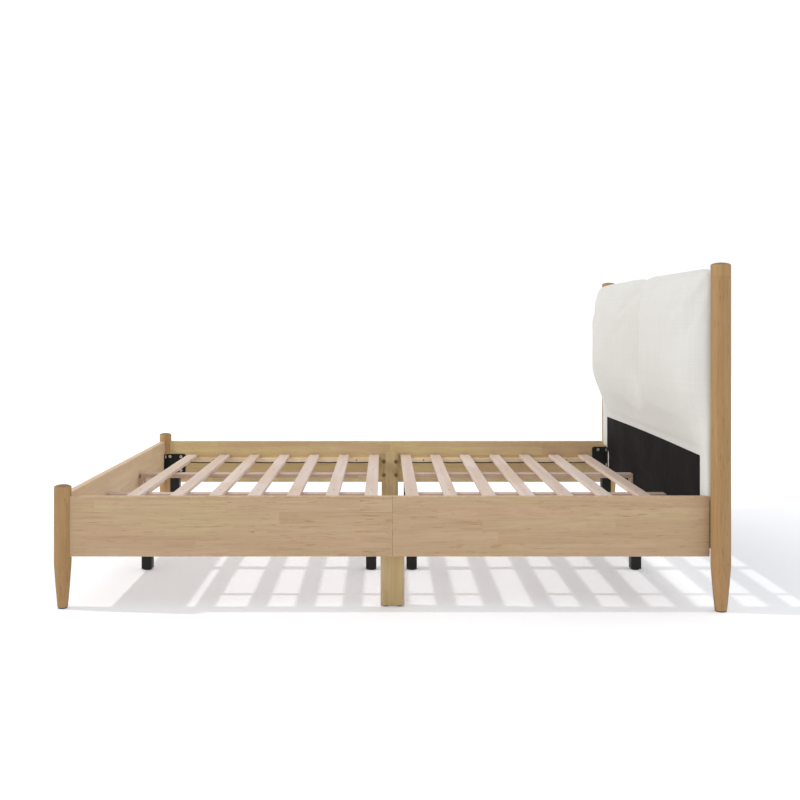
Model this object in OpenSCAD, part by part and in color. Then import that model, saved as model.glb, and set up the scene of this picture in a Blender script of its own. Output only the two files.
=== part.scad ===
// Platform bed frame with a padded headboard between two round posts.
// X runs from the foot of the bed to its head, Y across it to the left, and Z up from the floor.
// The origin is on the floor, in the middle of the frame's length and width.
// Pieces that come in pairs are drawn on the left side, at positive Y, and mirrored for the right.

/* [Overall] */
// Length over the foot legs and the head posts
overall_len = 2129; // [2115:1:2150]
// Width over the head posts
overall_w = 1702; // [1700:0.5:1706]
// Clear width between the side rails
inner_w = 1540; // [1536:1:1544]

/* [Side rails] */
// Thickness of a side rail
rail_t = 22; // [20:0.5:24]
// Height of a side rail
rail_h = 190; // [186:1:194]
// Height of the rails' top edge above the floor
rail_top = 354; // [350:1:360]
// Distance from the foot legs' axis to the butt joint of the two rail halves
joint_from_foot = 1044; // [1035:1:1055]
// Gap between the rails' head ends and the headboard
rail_end_gap = 3; // [2:0.5:5]

/* [Foot legs] */
// Diameter of a foot leg
foot_leg_d = 54; // [52:1:56]
// Height of a foot leg
foot_leg_h = 391; // [375:1:420]
// Diameter of a foot leg at the floor
foot_leg_tip_d = 32; // [28:1:36]
// Distance from the rails' outer face in to the foot legs' axis
foot_leg_inset = 9.5; // [9:0.5:11]

/* [Head posts] */
// Diameter of a head post
post_d = 62; // [62:0.5:64]
// Height of a head post
post_h = 1091; // [1085:1:1110]
// Diameter of a head post at the floor
post_tip_d = 38; // [34:1:42]

/* [Turned feet] */
// Height at which the tapered feet start
taper_h = 142; // [130:1:155]
// Height of the domed top of a leg or post
dome_h = 9; // [6:0.5:12]
// Thickness of the pads under the legs
pad_t = 3; // [2:0.5:4]

/* [Footboard] */
// Thickness of the footboard
footboard_t = 22; // [20:0.5:22]
// Distance from the foot legs' axis to the footboard's inner face
footboard_face = 3; // [2:0.5:4]

/* [Slats] */
// Width of a slat
slat_w = 46; // [40:1:50]
// Thickness of a slat
slat_t = 14; // [12:1:16]
// Height of the slats' top above the floor
slat_top = 293; // [290:1:296]
// Distance from the rail joint to the nearest slat's centre
slat_first = 73; // [70:1:76]
// Distance between the centres of neighbouring slats on the foot half
slat_pitch_foot = 138; // [136:0.5:139]
// Distance between the centres of neighbouring slats on the head half
slat_pitch_head = 137; // [136:0.5:139]
// Distance from the rail joint to the centre of the slat nearest the footboard
slat_foot_end = 915; // [910:1:916]
// Gap between a slat's end and the side rail
slat_end_gap = 6; // [3:1:9]

/* [Straps] */
// Width of the webbing that links the slats from below
strap_w = 24; // [20:1:30]
// Thickness of the webbing
strap_t = 1.5; // [1:0.5:2]
// Distance from the middle of the bed to a strap's centre line
strap_y = 602; // [590:1:640]

/* [Ledges and centre beams] */
// Depth of the ledges that carry the slat ends
ledge_w = 28; // [24:1:32]
// Height of the ledges
ledge_h = 19; // [16:1:22]
// Width of a centre beam
beam_w = 44; // [42:1:48]
// Height of a centre beam
beam_h = 18; // [16:1:20]
// Distance from the middle of the bed to a beam's centre line
beam_y = 257; // [230:1:280]

/* [Support legs] */
// Width of a square support leg
support_w = 38; // [36:1:40]
// Wall of a support leg
support_wall = 2; // [1.5:0.5:3]
// Distance from the rail joint to the inner support legs
support_x_in = 74; // [70:1:80]
// Distance from the rail joint to the outer support legs
support_x_out = 893; // [880:1:900]
// Diameter of a levelling glide
glide_d = 30; // [24:1:34]
// Thickness of a levelling glide
glide_h = 4; // [3:0.5:5]
// Length of a glide's threaded stem
glide_stem_len = 32; // [30:1:40]

/* [Middle legs] */
// Width of the flat legs behind the rail joints
middle_w = 76; // [70:1:80]
// Thickness of the middle legs
middle_t = 28; // [24:1:30]
// Height of the middle legs
middle_h = 302; // [298:1:310]

/* [Corner brackets] */
// Thickness of the bracket steel
bracket_t = 3; // [2.5:0.5:4]
// Length of a foot bracket along the rail
foot_bracket_len = 93; // [85:1:96]
// Length of a head bracket along the rail
head_bracket_len = 66; // [60:1:70]
// Length of a bracket's short flange
bracket_turn = 38; // [34:1:40]
// Height of a foot bracket
foot_bracket_h = 87; // [80:1:88]
// Height of a head bracket
head_bracket_h = 92; // [86:1:94]

/* [Headboard] */
// Thickness of the timber and plywood core
core_t = 34; // [30:1:36]
// Height of the core's lower edge above the floor
core_bottom = 186; // [180:1:195]
// Height of the headboard's padded top
pad_top = 1078; // [1070:1:1080]
// How far the padding stands out in front of the core
pad_depth = 77; // [60:1:84]
// Height at which the padding starts to swell
pad_low = 477; // [460:1:490]
// Half width of the lining cloth below the padding
cloth_half_w = 705; // [690:1:715]

/* [Hidden] */
$fn = 48;

foot_leg_x = -overall_len / 2 + foot_leg_d / 2;
post_x = overall_len / 2 - post_d / 2;
post_y = overall_w / 2 - post_d / 2;
joint_x = foot_leg_x + joint_from_foot;
rail_in_y = inner_w / 2;
rail_out_y = rail_in_y + rail_t;
rail_bottom = rail_top - rail_h;
foot_leg_y = rail_out_y - foot_leg_inset;
footboard_x = foot_leg_x + footboard_face;
footboard_half_w = foot_leg_y - 12;
rail_foot_x = foot_leg_x + 8;

core_half_w = rail_out_y;
core_x = post_x - 22.5;
core_top = pad_top - 8;
rail_head_x = core_x - rail_end_gap;

slat_bottom = slat_top - slat_t;
slat_half_len = rail_in_y - slat_end_gap;
slats_per_half = 7;
slat_count = 2 * slats_per_half;
ledge_y = rail_in_y - ledge_w;
beam_foot_gap = 8;
beam_head_x = core_x - 1.5;
beam_bottom = slat_bottom - beam_h;
joint_clear = 52;
strap_overrun = 15;

support_x = [-support_x_out, -support_x_in, support_x_in, support_x_out];
glide_gap = 0.5;
glide_stem_d = 8;
glide_running_gap = 0.05;
support_bottom = glide_h + glide_gap;
support_plug = 20;
support_cap = 4;
support_edge_r = 3;

foot_bracket_top = slat_top + 2;
head_bracket_top = rail_top - 26;
bracket_corner_r = 8;
bolt_r = 4;
bolt_head_r = 7;
bolt_head_h = 4;
bolt_bite = 16;
bracket_bolt_inset = 21;
bracket_row_inset = 12;
turn_bolt_inset = 18;
head_bolt_x = core_x - 39;

middle_bolt_x = 28.5;
middle_bolt_z = [200, 262];
flat_head_r = 9.5;
flat_head_h = 2;
cap_head_r = 6.5;
cap_head_h = 5;
counterbore_r = 7;

screw_r = 2;
screw_head_r = 4;
screw_head_h = 2.5;
screw_len = 27;
ledge_screw_len = 42;
beam_screw_shift = 13;
ledge_screw_x = [155, 477, 814];

cleat_t_foot = 21;
cleat_t_head = 12;
cleat_h = 41;
cloth_t = 1.2;

// Colours of the woods and metals
oak = [0.80, 0.66, 0.46];
pine = [0.88, 0.77, 0.64];
steel_black = [0.09, 0.09, 0.10];
zinc = [0.75, 0.75, 0.73];

HALVES = ["foot", "head"];
SIDES = ["left", "right"];
ROWS = ["foot_outer", "foot_inner", "head_inner", "head_outer"];

// Distance along X from the rail joint to the centre of slat i, counted from the foot
function slat_x(i) =
    i == 1 ? -slat_foot_end
    : i <= slats_per_half ? -slat_first - (slats_per_half - i) * slat_pitch_foot
    : slat_first + (i - slats_per_half - 1) * slat_pitch_head;

// Slat numbers that lie on one half of the frame
function slats_of(half) = half == "foot" ? [1:slats_per_half] : [slats_per_half + 1:slat_count];

// A smooth rise from 0 to 1
function ease(t) = (1 - cos(180 * t)) / 2;

// ---------- helpers ----------

// Draws on the left side, or mirrors to the right
module on(side) {
    mirror([0, side == "right" ? 1 : 0, 0]) children();
}

// A box given by its lowest and highest corners
module box(low, high) {
    translate(low) cube(high - low);
}

// A turned leg: tapered foot, straight shaft and a shallow dome
module turned_leg(d, tip_d, h) {
    dome = [for (a = [0:15:75]) [d / 2 * cos(a), h - dome_h + dome_h * sin(a)]];
    rotate_extrude($fn = 96)
        polygon(concat(
            [[0, pad_t], [tip_d / 2 - 1.5, pad_t], [tip_d / 2, pad_t + 1.5], [d / 2, taper_h]],
            dome,
            [[0, h]]
        ));
}

// A wood screw, head up, with the top of its head at Z = 0
module wood_screw(len) {
    rotate_extrude($fn = 24)
        polygon([
            [0, 0], [screw_head_r, 0], [screw_r, -screw_head_h],
            [screw_r, -len + 4], [0, -len]
        ]);
}

// A bolt along +Z: its head stands below Z = 0 and its shank runs up from there
module bolt(head_r, head_h, len) {
    translate([0, 0, -head_h]) cylinder(r = head_r, h = head_h, $fn = 32);
    cylinder(r = bolt_r, h = len, $fn = 32);
}

// A plate in the XZ plane, its outer face at Y = 0, with two rounded corners at its far end
module flange(len, h) {
    r = bracket_corner_r;
    rotate([90, 0, 0]) linear_extrude(bracket_t) {
        square([len - r, h]);
        translate([0, r]) square([len, h - 2 * r]);
        for (z = [r, h - r]) translate([len - r, z]) circle(r = r);
    }
}

// ---------- fastener positions ----------

// Two vertical rows for the bolts of a bracket
function bolt_rows(top, h) = [top - bracket_row_inset, top - h + bracket_row_inset];

// Bolts of one foot bracket: four into the rail and two into the footboard
module foot_bracket_bolts() {
    for (z = bolt_rows(foot_bracket_top, foot_bracket_h)) {
        for (x = [bracket_bolt_inset, foot_bracket_len - bracket_bolt_inset])
            translate([footboard_x + x, rail_in_y - bracket_t, z]) rotate([-90, 0, 0])
                bolt(bolt_head_r, bolt_head_h, bracket_t + bolt_bite);
        translate([footboard_x + bracket_t, rail_in_y - turn_bolt_inset, z]) rotate([0, -90, 0])
            bolt(bolt_head_r, bolt_head_h, bracket_t + bolt_bite);
    }
}

// Bolts of one head bracket: two into the rail and two into the headboard
module head_bracket_bolts() {
    for (z = bolt_rows(head_bracket_top, head_bracket_h)) {
        translate([head_bolt_x, rail_in_y - bracket_t, z]) rotate([-90, 0, 0])
            bolt(bolt_head_r, bolt_head_h, bracket_t + bolt_bite);
        translate([core_x - bracket_t, rail_in_y - turn_bolt_inset, z]) rotate([0, 90, 0])
            bolt(bolt_head_r, bolt_head_h, bracket_t + bolt_bite);
    }
}

// Four flat-headed bolts through a middle leg, two into each rail half
module middle_leg_bolts() {
    for (x = [-middle_bolt_x, middle_bolt_x])
        for (z = middle_bolt_z)
            translate([joint_x + x, rail_in_y - middle_t, z]) rotate([-90, 0, 0])
                bolt(flat_head_r, flat_head_h, middle_t + bolt_bite);
}

// The bolt that hangs a support leg under its beam
module support_bolt(x) {
    translate([joint_x + x, beam_y, slat_bottom - cap_head_h - 0.5]) rotate([180, 0, 0])
        bolt(cap_head_r, cap_head_h, beam_h + 6);
}

// Two studs that join the headboard core to a post
module post_studs() {
    for (z = [core_bottom + 150, core_top - 150])
        translate([core_x + core_t / 2, core_half_w - 40, z]) rotate([-90, 0, 0])
            cylinder(r = bolt_r, h = 65, $fn = 32);
}

// The screws of one slat on the left side: one into the beam and one into the ledge
module slat_screws(i) {
    for (y = [beam_y + beam_screw_shift, rail_in_y - ledge_w / 2])
        translate([joint_x + slat_x(i), y, slat_top]) wood_screw(screw_len);
}

// The screws that hold one ledge to its rail
module ledge_screws(half) {
    dir = half == "foot" ? -1 : 1;
    for (x = ledge_screw_x)
        translate([joint_x + dir * x, ledge_y, slat_bottom - ledge_h / 2]) rotate([90, 0, 0])
            wood_screw(ledge_screw_len);
}

// The screw that holds a beam cleat
module cleat_screw(half) {
    if (half == "foot")
        translate([footboard_x + cleat_t_foot, beam_y, beam_bottom - cleat_h / 2])
            rotate([0, 90, 0]) wood_screw(cleat_t_foot + 14);
    else
        translate([core_x - cloth_t - cleat_t_head, beam_y, beam_bottom - cleat_h / 2])
            rotate([0, -90, 0]) wood_screw(cleat_t_head + 14);
}

// ---------- legs and posts ----------

module foot_leg(side) {
    color(oak) on(side) difference() {
        translate([foot_leg_x, foot_leg_y, 0]) turned_leg(foot_leg_d, foot_leg_tip_d, foot_leg_h);
        // housing for the end of the side rail
        box([rail_foot_x, rail_in_y, rail_bottom], [foot_leg_x + foot_leg_d, rail_out_y, rail_top]);
        // housing for the end of the footboard
        box([footboard_x - footboard_t, foot_leg_y - foot_leg_d, rail_bottom],
            [footboard_x, footboard_half_w, rail_top]);
        // square corner in which the bracket sits
        box([footboard_x, foot_leg_y - foot_leg_d, foot_bracket_top - foot_bracket_h],
            [foot_leg_x + foot_leg_d, rail_in_y, foot_bracket_top]);
    }
}

module head_post(side) {
    color(oak) on(side) difference() {
        translate([post_x, post_y, 0]) turned_leg(post_d, post_tip_d, post_h);
        // flat on which the headboard's edge lies
        box([post_x - post_d, core_half_w - post_d, core_bottom],
            [post_x + post_d, core_half_w, pad_top]);
        post_studs();
    }
}

module middle_leg(side) {
    color(oak) on(side) difference() {
        box([joint_x - middle_w / 2, rail_in_y - middle_t, pad_t],
            [joint_x + middle_w / 2, rail_in_y, middle_h]);
        middle_leg_bolts();
    }
}

// ---------- rails, footboard, ledges ----------

module side_rail(half, side) {
    low_x = half == "foot" ? rail_foot_x : joint_x;
    high_x = half == "foot" ? joint_x : rail_head_x;
    color(oak) on(side) difference() {
        box([low_x, rail_in_y, rail_bottom], [high_x, rail_out_y, rail_top]);
        middle_leg_bolts();
        ledge_screws(half);
        if (half == "foot") foot_bracket_bolts();
        if (half == "head") head_bracket_bolts();
    }
}

module footboard() {
    color(oak) difference() {
        box([footboard_x - footboard_t, -footboard_half_w, rail_bottom],
            [footboard_x, footboard_half_w, rail_top]);
        for (side = SIDES) on(side) {
            foot_bracket_bolts();
            cleat_screw("foot");
        }
    }
}

module ledge(half, side) {
    low_x = half == "foot" ? footboard_x + foot_bracket_len + 3 : joint_x + joint_clear;
    high_x = half == "foot" ? joint_x - joint_clear : core_x - head_bracket_len - 3;
    color(pine) on(side) difference() {
        box([low_x, ledge_y, slat_bottom - ledge_h], [high_x, rail_in_y, slat_bottom]);
        ledge_screws(half);
        for (i = slats_of(half)) slat_screws(i);
    }
}

// ---------- slats, beams, cleats ----------

module slat(i) {
    x = joint_x + slat_x(i);
    color(pine) difference() {
        box([x - slat_w / 2, -slat_half_len, slat_bottom], [x + slat_w / 2, slat_half_len, slat_top]);
        for (side = SIDES) on(side) slat_screws(i);
    }
}

module centre_beam(half, side) {
    low_x = half == "foot" ? footboard_x + beam_foot_gap : joint_x + joint_clear;
    high_x = half == "foot" ? joint_x - joint_clear : beam_head_x;
    dir = half == "foot" ? -1 : 1;
    color(pine) on(side) difference() {
        box([low_x, beam_y - beam_w / 2, beam_bottom], [high_x, beam_y + beam_w / 2, slat_bottom]);
        for (i = slats_of(half)) slat_screws(i);
        for (x = [support_x_in, support_x_out]) {
            support_bolt(dir * x);
            translate([joint_x + dir * x, beam_y, slat_bottom - cap_head_h - 0.5])
                cylinder(r = counterbore_r, h = cap_head_h + 1, $fn = 32);
        }
    }
}

// Four lengths of webbing, two to each half, fixed to the underside of every slat they cross
module slat_straps() {
    color(steel_black) for (first = [1, slats_per_half + 1]) for (side = SIDES) on(side) {
        last = first + slats_per_half - 1;
        box([joint_x + slat_x(first) - strap_overrun, strap_y - strap_w / 2, slat_bottom - strap_t],
            [joint_x + slat_x(last) + strap_overrun, strap_y + strap_w / 2, slat_bottom]);
    }
}

module beam_cleats() {
    color(pine) for (side = SIDES) on(side) difference() {
        union() {
            box([footboard_x, beam_y - beam_w / 2, beam_bottom - cleat_h],
                [footboard_x + cleat_t_foot, beam_y + beam_w / 2, beam_bottom]);
            box([core_x - cloth_t - cleat_t_head, beam_y - beam_w / 2, beam_bottom - cleat_h],
                [core_x - cloth_t, beam_y + beam_w / 2, beam_bottom]);
        }
        cleat_screw("foot");
        cleat_screw("head");
    }
}

// ---------- support legs ----------

module support_section(w, r) {
    square([w - 2 * r, w], center = true);
    square([w, w - 2 * r], center = true);
    for (x = [-1, 1]) for (y = [-1, 1])
        translate([x * (w / 2 - r), y * (w / 2 - r)]) circle(r = r);
}

// A square tube, closed by a cap at the top and by a threaded plug at the bottom
module support_leg(x, side) {
    inner_w = support_w - 2 * support_wall;
    color(steel_black) on(side) translate([joint_x + x, beam_y, 0]) difference() {
        translate([0, 0, support_bottom])
            linear_extrude(beam_bottom - support_bottom) support_section(support_w, support_edge_r);
        box([-inner_w / 2, -inner_w / 2, support_bottom + support_plug],
            [inner_w / 2, inner_w / 2, beam_bottom - support_cap]);
        translate([0, 0, support_bottom - 1])
            cylinder(r = glide_stem_d / 2 + glide_running_gap, h = support_plug + 2, $fn = 32);
        translate([0, 0, beam_bottom - support_cap - 1])
            cylinder(r = bolt_r, h = support_cap + 2, $fn = 32);
    }
}

// A round foot on a threaded stem, which screws out of the leg
module levelling_glide(x, side) {
    color(steel_black) on(side) translate([joint_x + x, beam_y, 0]) {
        rotate_extrude($fn = 64)
            polygon([
                [0, 0], [glide_d / 2 - 1, 0], [glide_d / 2, 1],
                [glide_d / 2, glide_h - 1], [glide_d / 2 - 1, glide_h], [0, glide_h]
            ]);
        cylinder(r = glide_stem_d / 2, h = glide_h + glide_stem_len, $fn = 32);
    }
}

// ---------- steel corner brackets ----------

module foot_bracket(side) {
    color(steel_black) on(side) difference() {
        union() {
            translate([footboard_x, rail_in_y, foot_bracket_top - foot_bracket_h])
                flange(foot_bracket_len, foot_bracket_h);
            translate([footboard_x, rail_in_y, foot_bracket_top - foot_bracket_h])
                mirror([1, 0, 0]) rotate([0, 0, -90]) flange(bracket_turn, foot_bracket_h);
        }
        foot_bracket_bolts();
    }
}

module head_bracket(side) {
    color(steel_black) on(side) difference() {
        union() {
            translate([core_x, rail_in_y, head_bracket_top - head_bracket_h])
                mirror([1, 0, 0]) flange(head_bracket_len, head_bracket_h);
            translate([core_x, rail_in_y, head_bracket_top - head_bracket_h])
                rotate([0, 0, -90]) flange(bracket_turn, head_bracket_h);
        }
        head_bracket_bolts();
    }
}

// ---------- headboard ----------

module headboard_core() {
    color([0.93, 0.92, 0.89]) difference() {
        box([core_x, -core_half_w, core_bottom], [core_x + core_t, core_half_w, core_top]);
        for (side = SIDES) on(side) {
            post_studs();
            head_bracket_bolts();
            cleat_screw("head");
        }
    }
}

// Side outline of the padding: an easing rise below, a flat front and a rounded shoulder on top
module pad_outline() {
    thin = 8;
    rise_top = 715;
    shoulder = 905;
    steps = 8;
    rise = [for (k = [0:steps])
        [-thin - (pad_depth - thin) * ease(k / steps), pad_low + (rise_top - pad_low) * k / steps]];
    round_off = [for (a = [0:12:84])
        [-pad_depth * pow(cos(a), 0.55), shoulder + (pad_top - shoulder) * sin(a)]];
    polygon(concat(
        [[0, pad_low]], rise, round_off,
        [[0, pad_top], [core_t, pad_top], [core_t, core_top], [0, core_top]]
    ));
}

module headboard_cushion() {
    half_w = core_half_w - 2;
    color([0.95, 0.94, 0.91]) translate([core_x, half_w, 0]) rotate([90, 0, 0])
        linear_extrude(2 * half_w) pad_outline();
}

// The lining cloth below the padding, which lifts a little over the edge of the foam
module headboard_lining() {
    lift_z = 340;
    color([0.10, 0.10, 0.10]) difference() {
        translate([core_x, cloth_half_w, 0]) rotate([90, 0, 0])
            linear_extrude(2 * cloth_half_w)
                polygon([
                    [0, core_bottom], [-cloth_t, core_bottom], [-cloth_t, lift_z],
                    [-8, pad_low], [0, pad_low]
                ]);
        for (side = SIDES) on(side) cleat_screw("head");
    }
}

// ---------- hardware ----------

module bed_bolts() {
    color(zinc) for (side = SIDES) on(side) {
        foot_bracket_bolts();
        head_bracket_bolts();
        middle_leg_bolts();
        post_studs();
        for (x = support_x) support_bolt(x);
    }
}

module wood_screws() {
    color(zinc) for (side = SIDES) on(side) {
        for (i = [1:slat_count]) slat_screws(i);
        for (half = HALVES) {
            ledge_screws(half);
            cleat_screw(half);
        }
    }
}

module floor_pads() {
    color(steel_black) for (side = SIDES) on(side) {
        translate([foot_leg_x, foot_leg_y, 0]) cylinder(r = foot_leg_tip_d / 2 - 1.5, h = pad_t);
        translate([post_x, post_y, 0]) cylinder(r = post_tip_d / 2 - 1.5, h = pad_t);
        for (x = [-22, 22])
            translate([joint_x + x, rail_in_y - middle_t / 2, 0]) cylinder(r = 10, h = pad_t);
    }
}

// ---------- the bed, one node at a time ----------

footboard();
headboard_core();
headboard_cushion();
headboard_lining();
beam_cleats();
slat_straps();
union() {  // bed_fasteners
    bed_bolts();
    wood_screws();
}
floor_pads();

for (s = SIDES) {
    foot_leg(s);
    head_post(s);
    middle_leg(s);
    foot_bracket(s);
    head_bracket(s);
    for (h = HALVES) {
        side_rail(h, s);
        ledge(h, s);
        centre_beam(h, s);
    }
    for (r = [0:3]) {
        support_leg(support_x[r], s);
        levelling_glide(support_x[r], s);
    }
}

for (i = [1:slat_count]) {
    slat(i);
}
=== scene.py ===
"""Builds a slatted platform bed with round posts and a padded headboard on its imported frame.

Sizes are in metres. X runs from foot to head, Y to the left, Z up; the origin is on the floor.
"""

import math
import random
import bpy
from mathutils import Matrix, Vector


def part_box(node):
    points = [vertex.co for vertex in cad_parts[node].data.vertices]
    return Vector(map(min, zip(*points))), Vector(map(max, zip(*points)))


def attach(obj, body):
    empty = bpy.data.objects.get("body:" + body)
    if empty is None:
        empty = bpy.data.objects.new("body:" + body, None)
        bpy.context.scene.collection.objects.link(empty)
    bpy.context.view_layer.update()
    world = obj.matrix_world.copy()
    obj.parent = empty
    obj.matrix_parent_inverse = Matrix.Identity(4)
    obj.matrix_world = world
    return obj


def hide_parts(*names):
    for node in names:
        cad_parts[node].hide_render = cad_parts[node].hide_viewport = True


bl_info = {
    "name": "Padded Bed Frame",
    "version": (1, 0, 0),
    "blender": (4, 5, 0),
    "location": "3D View > Sidebar > Bed Frame",
    "description": "Builds a slatted platform bed with round posts and a padded headboard",
    "category": "Add Mesh",
}

import bmesh
import bpy
from mathutils import Matrix, Vector

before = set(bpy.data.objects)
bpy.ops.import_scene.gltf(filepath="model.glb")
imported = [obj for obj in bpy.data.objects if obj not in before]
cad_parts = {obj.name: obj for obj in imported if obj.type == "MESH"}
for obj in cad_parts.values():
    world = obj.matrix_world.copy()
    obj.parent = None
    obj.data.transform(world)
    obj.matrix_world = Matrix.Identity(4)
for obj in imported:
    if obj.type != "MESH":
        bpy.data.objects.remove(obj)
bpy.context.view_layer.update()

SIDES = {"left": 1, "right": -1}
HALVES = {"foot": -1, "head": 1}
ROWS = ("foot_outer", "foot_inner", "head_inner", "head_outer")
SLATS = 14
FRAME_BODY = "frame"

JOINT_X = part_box("side_rail_head_left")[0].x
CORE_LOW, CORE_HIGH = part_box("headboard_core")
PAD_LOW, PAD_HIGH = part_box("headboard_cushion")


# ---------- settings ----------


def length(name, description, default, low=0.0, high=1.0):
    """A size in metres, shown in the sidebar."""
    return bpy.props.FloatProperty(
        name=name, description=description, default=default,
        min=low, max=high, precision=4, subtype="DISTANCE", unit="LENGTH")


def share(name, description, default, high=1.0):
    """A plain amount, from 0 up."""
    return bpy.props.FloatProperty(
        name=name, description=description, default=default, min=0.0, max=high, subtype="FACTOR")


def colour(name, description, default):
    """A linear colour."""
    return bpy.props.FloatVectorProperty(
        name=name, description=description, default=default, size=3, min=0.0, max=1.0, subtype="COLOR")


class BedSizes(bpy.types.PropertyGroup):
    """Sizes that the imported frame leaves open."""

    board_edge: length("Board edge", "Radius on the edges of rails and footboard", 0.0022, 0.0005, 0.006)
    slat_edge: length("Slat edge", "Radius on the edges of slats, ledges and beams", 0.0018, 0.0005, 0.005)
    leg_tip: length("Foot leg tip", "Radius of a foot leg at the floor", 0.016, 0.01, 0.03)
    post_tip: length("Post tip", "Radius of a head post at the floor", 0.019, 0.01, 0.03)
    taper: length("Taper height", "Height at which the tapered feet start", 0.142, 0.05, 0.3)
    dome: length("Dome", "Height of the domed top of a leg or post", 0.009, 0.003, 0.02)
    pad_cell: length("Padding cell", "Cell size of the padding's cloth", 0.008, 0.004, 0.02)
    pad_swell: length("Padding swell", "Farthest that the padding's cloth may swell", 0.010, 0.0, 0.03)
    channel: length("Channel depth", "How far the middle channel is pulled in", 0.058, 0.0, 0.07)
    thread: length("Thread pitch", "Distance between two threads of the cover cloth", 0.0016, 0.0005, 0.005)


class BedColours(bpy.types.PropertyGroup):
    """Woods, cloths and metals."""

    rail_light: colour("Rail wood, light", "Light blocks of the rails and footboard", (0.590, 0.452, 0.258))
    rail_dark: colour("Rail wood, dark", "Dark grain of the rails and footboard", (0.370, 0.236, 0.118))
    rail_warm: colour("Rail wood, warm", "Pinkish blocks of the rails", (0.590, 0.402, 0.268))
    # The left rails' light and dark woods are painted lighter and yellower than the right rails': painted light on the
    # far rails.
    left_lit_light: colour("Left rail wood, light", "Light blocks of the left rails", (0.720, 0.595, 0.290))
    left_lit_dark: colour("Left rail wood, dark", "Dark grain of the left rails", (0.480, 0.350, 0.145))
    # The footboard's woods are painted lighter than the rail oak: painted light on its inner face, which faces the
    # head end.
    foot_light: colour("Footboard wood, light", "Light blocks of the footboard", (0.730, 0.575, 0.365))
    foot_dark: colour("Footboard wood, dark", "Dark grain of the footboard", (0.520, 0.370, 0.210))
    turned_light: colour("Turned wood, light", "Light grain of legs and posts", (0.475, 0.306, 0.128))
    turned_dark: colour("Turned wood, dark", "Dark grain of legs and posts", (0.268, 0.145, 0.055))
    turned_warm: colour("Turned wood, warm", "Orange strips of legs and posts", (0.430, 0.242, 0.108))
    middle_light: colour("Middle leg, light", "Light grain of the middle legs", (0.450, 0.310, 0.130))
    middle_dark: colour("Middle leg, dark", "Dark grain of the middle legs", (0.290, 0.185, 0.070))
    slat_light: colour("Slat wood, light", "Light grain of the slats", (0.735, 0.620, 0.570))
    slat_dark: colour("Slat wood, dark", "Dark grain of the slats", (0.570, 0.455, 0.400))
    ledge_light: colour("Ledge wood, light", "Light grain of the ledges", (0.880, 0.690, 0.480))
    ledge_dark: colour("Ledge wood, dark", "Dark grain of the ledges", (0.640, 0.460, 0.300))
    beam_light: colour("Beam wood, light", "Light grain of the beams", (0.600, 0.435, 0.320))
    beam_dark: colour("Beam wood, dark", "Dark grain of the beams", (0.330, 0.175, 0.110))
    cover: colour("Cover cloth", "Woven cloth of the headboard", (0.695, 0.688, 0.658))
    # The shade colour also serves as painted shade in the hollows between the threads.
    cover_shade: colour("Cover cloth, shade", "Darker threads of the cloth", (0.540, 0.522, 0.480))
    lining: colour("Lining cloth", "Pressed black lining", (0.0065, 0.0050, 0.0042))
    black: colour("Powder coat", "Black legs and brackets", (0.010, 0.0105, 0.0085))
    zinc: colour("Zinc", "Bolts and screws", (0.620, 0.610, 0.590))
    bronze: colour("Bronze finish", "Bolts and screws with a bronze finish", (0.210, 0.140, 0.055))
    floor: colour("Floor", "Studio floor", (0.900, 0.900, 0.905))


class StageLook(bpy.types.PropertyGroup):
    """Camera and lights."""

    lens: bpy.props.FloatProperty(
        name="Lens", description="Focal length of the camera", default=47.3, min=10.0, max=200.0,
        subtype="DISTANCE_CAMERA", unit="CAMERA")
    eye: bpy.props.FloatVectorProperty(
        name="Eye", description="Place of the camera", default=(-0.0203, -4.1095, 0.8999),
        size=3, subtype="XYZ", unit="LENGTH")
    lamp: bpy.props.FloatVectorProperty(
        name="Lamp", description="Place of the main lamp", default=(-4.285, -0.45, 3.32),
        size=3, subtype="XYZ", unit="LENGTH")
    lamp_power: bpy.props.FloatProperty(
        name="Lamp power", description="Power of the main lamp", default=16.5, min=0.0, unit="POWER")
    surround: share("Surround light", "Strength of the light from all round", 0.86, 3.0)


# ---------- mesh helpers ----------


def seeded(name):
    """A random stream that is the same each time for one piece."""
    return random.Random("bed " + name)


def new_mesh():
    """A bmesh that carries the layer for edge wear and a painted edge highlight."""
    bm = bmesh.new()
    bm.faces.layers.float.new("edge")
    return bm


def add_block(bm, low, high):
    """Adds a block between two corners and returns its vertices."""
    low, high = Vector(low), Vector(high)
    place = Matrix.Translation((low + high) / 2) @ Matrix.Diagonal((*(high - low), 1.0))
    return bmesh.ops.create_cube(bm, size=1.0, matrix=place)["verts"]


def edges_of(verts):
    return list({edge for vert in verts for edge in vert.link_edges})


def round_edges(bm, edges, radius, segments=3):
    """Rounds edges and marks the new faces for edge wear and a painted highlight."""
    worn_and_lit = bm.faces.layers.float["edge"]
    made = bmesh.ops.bevel(
        bm, geom=edges, offset=radius, offset_type="OFFSET", segments=segments,
        profile=0.5, affect="EDGES", clamp_overlap=True, material=-1)
    for face in made["faces"]:
        face[worn_and_lit] = 1.0


def spin_profile(bm, profile, centre, segments):
    """Turns a profile of (radius, height) points about a vertical axis."""
    verts = [bm.verts.new((centre[0] + r, centre[1], z)) for r, z in profile]
    edges = [bm.edges.new(pair) for pair in zip(verts, verts[1:])]
    bmesh.ops.spin(
        bm, geom=verts + edges, cent=(centre[0], centre[1], 0.0), axis=(0.0, 0.0, 1.0),
        angle=math.tau, steps=segments, use_merge=True, use_duplicate=False)
    bmesh.ops.remove_doubles(bm, verts=bm.verts, dist=1e-5)


def to_object(bm, name):
    """Turns a finished bmesh into an object at the origin."""
    bmesh.ops.recalc_face_normals(bm, faces=bm.faces)
    mesh = bpy.data.meshes.new(name)
    bm.to_mesh(mesh)
    bm.free()
    piece = bpy.data.objects.new(name, mesh)
    bpy.context.scene.collection.objects.link(piece)
    return piece


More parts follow.
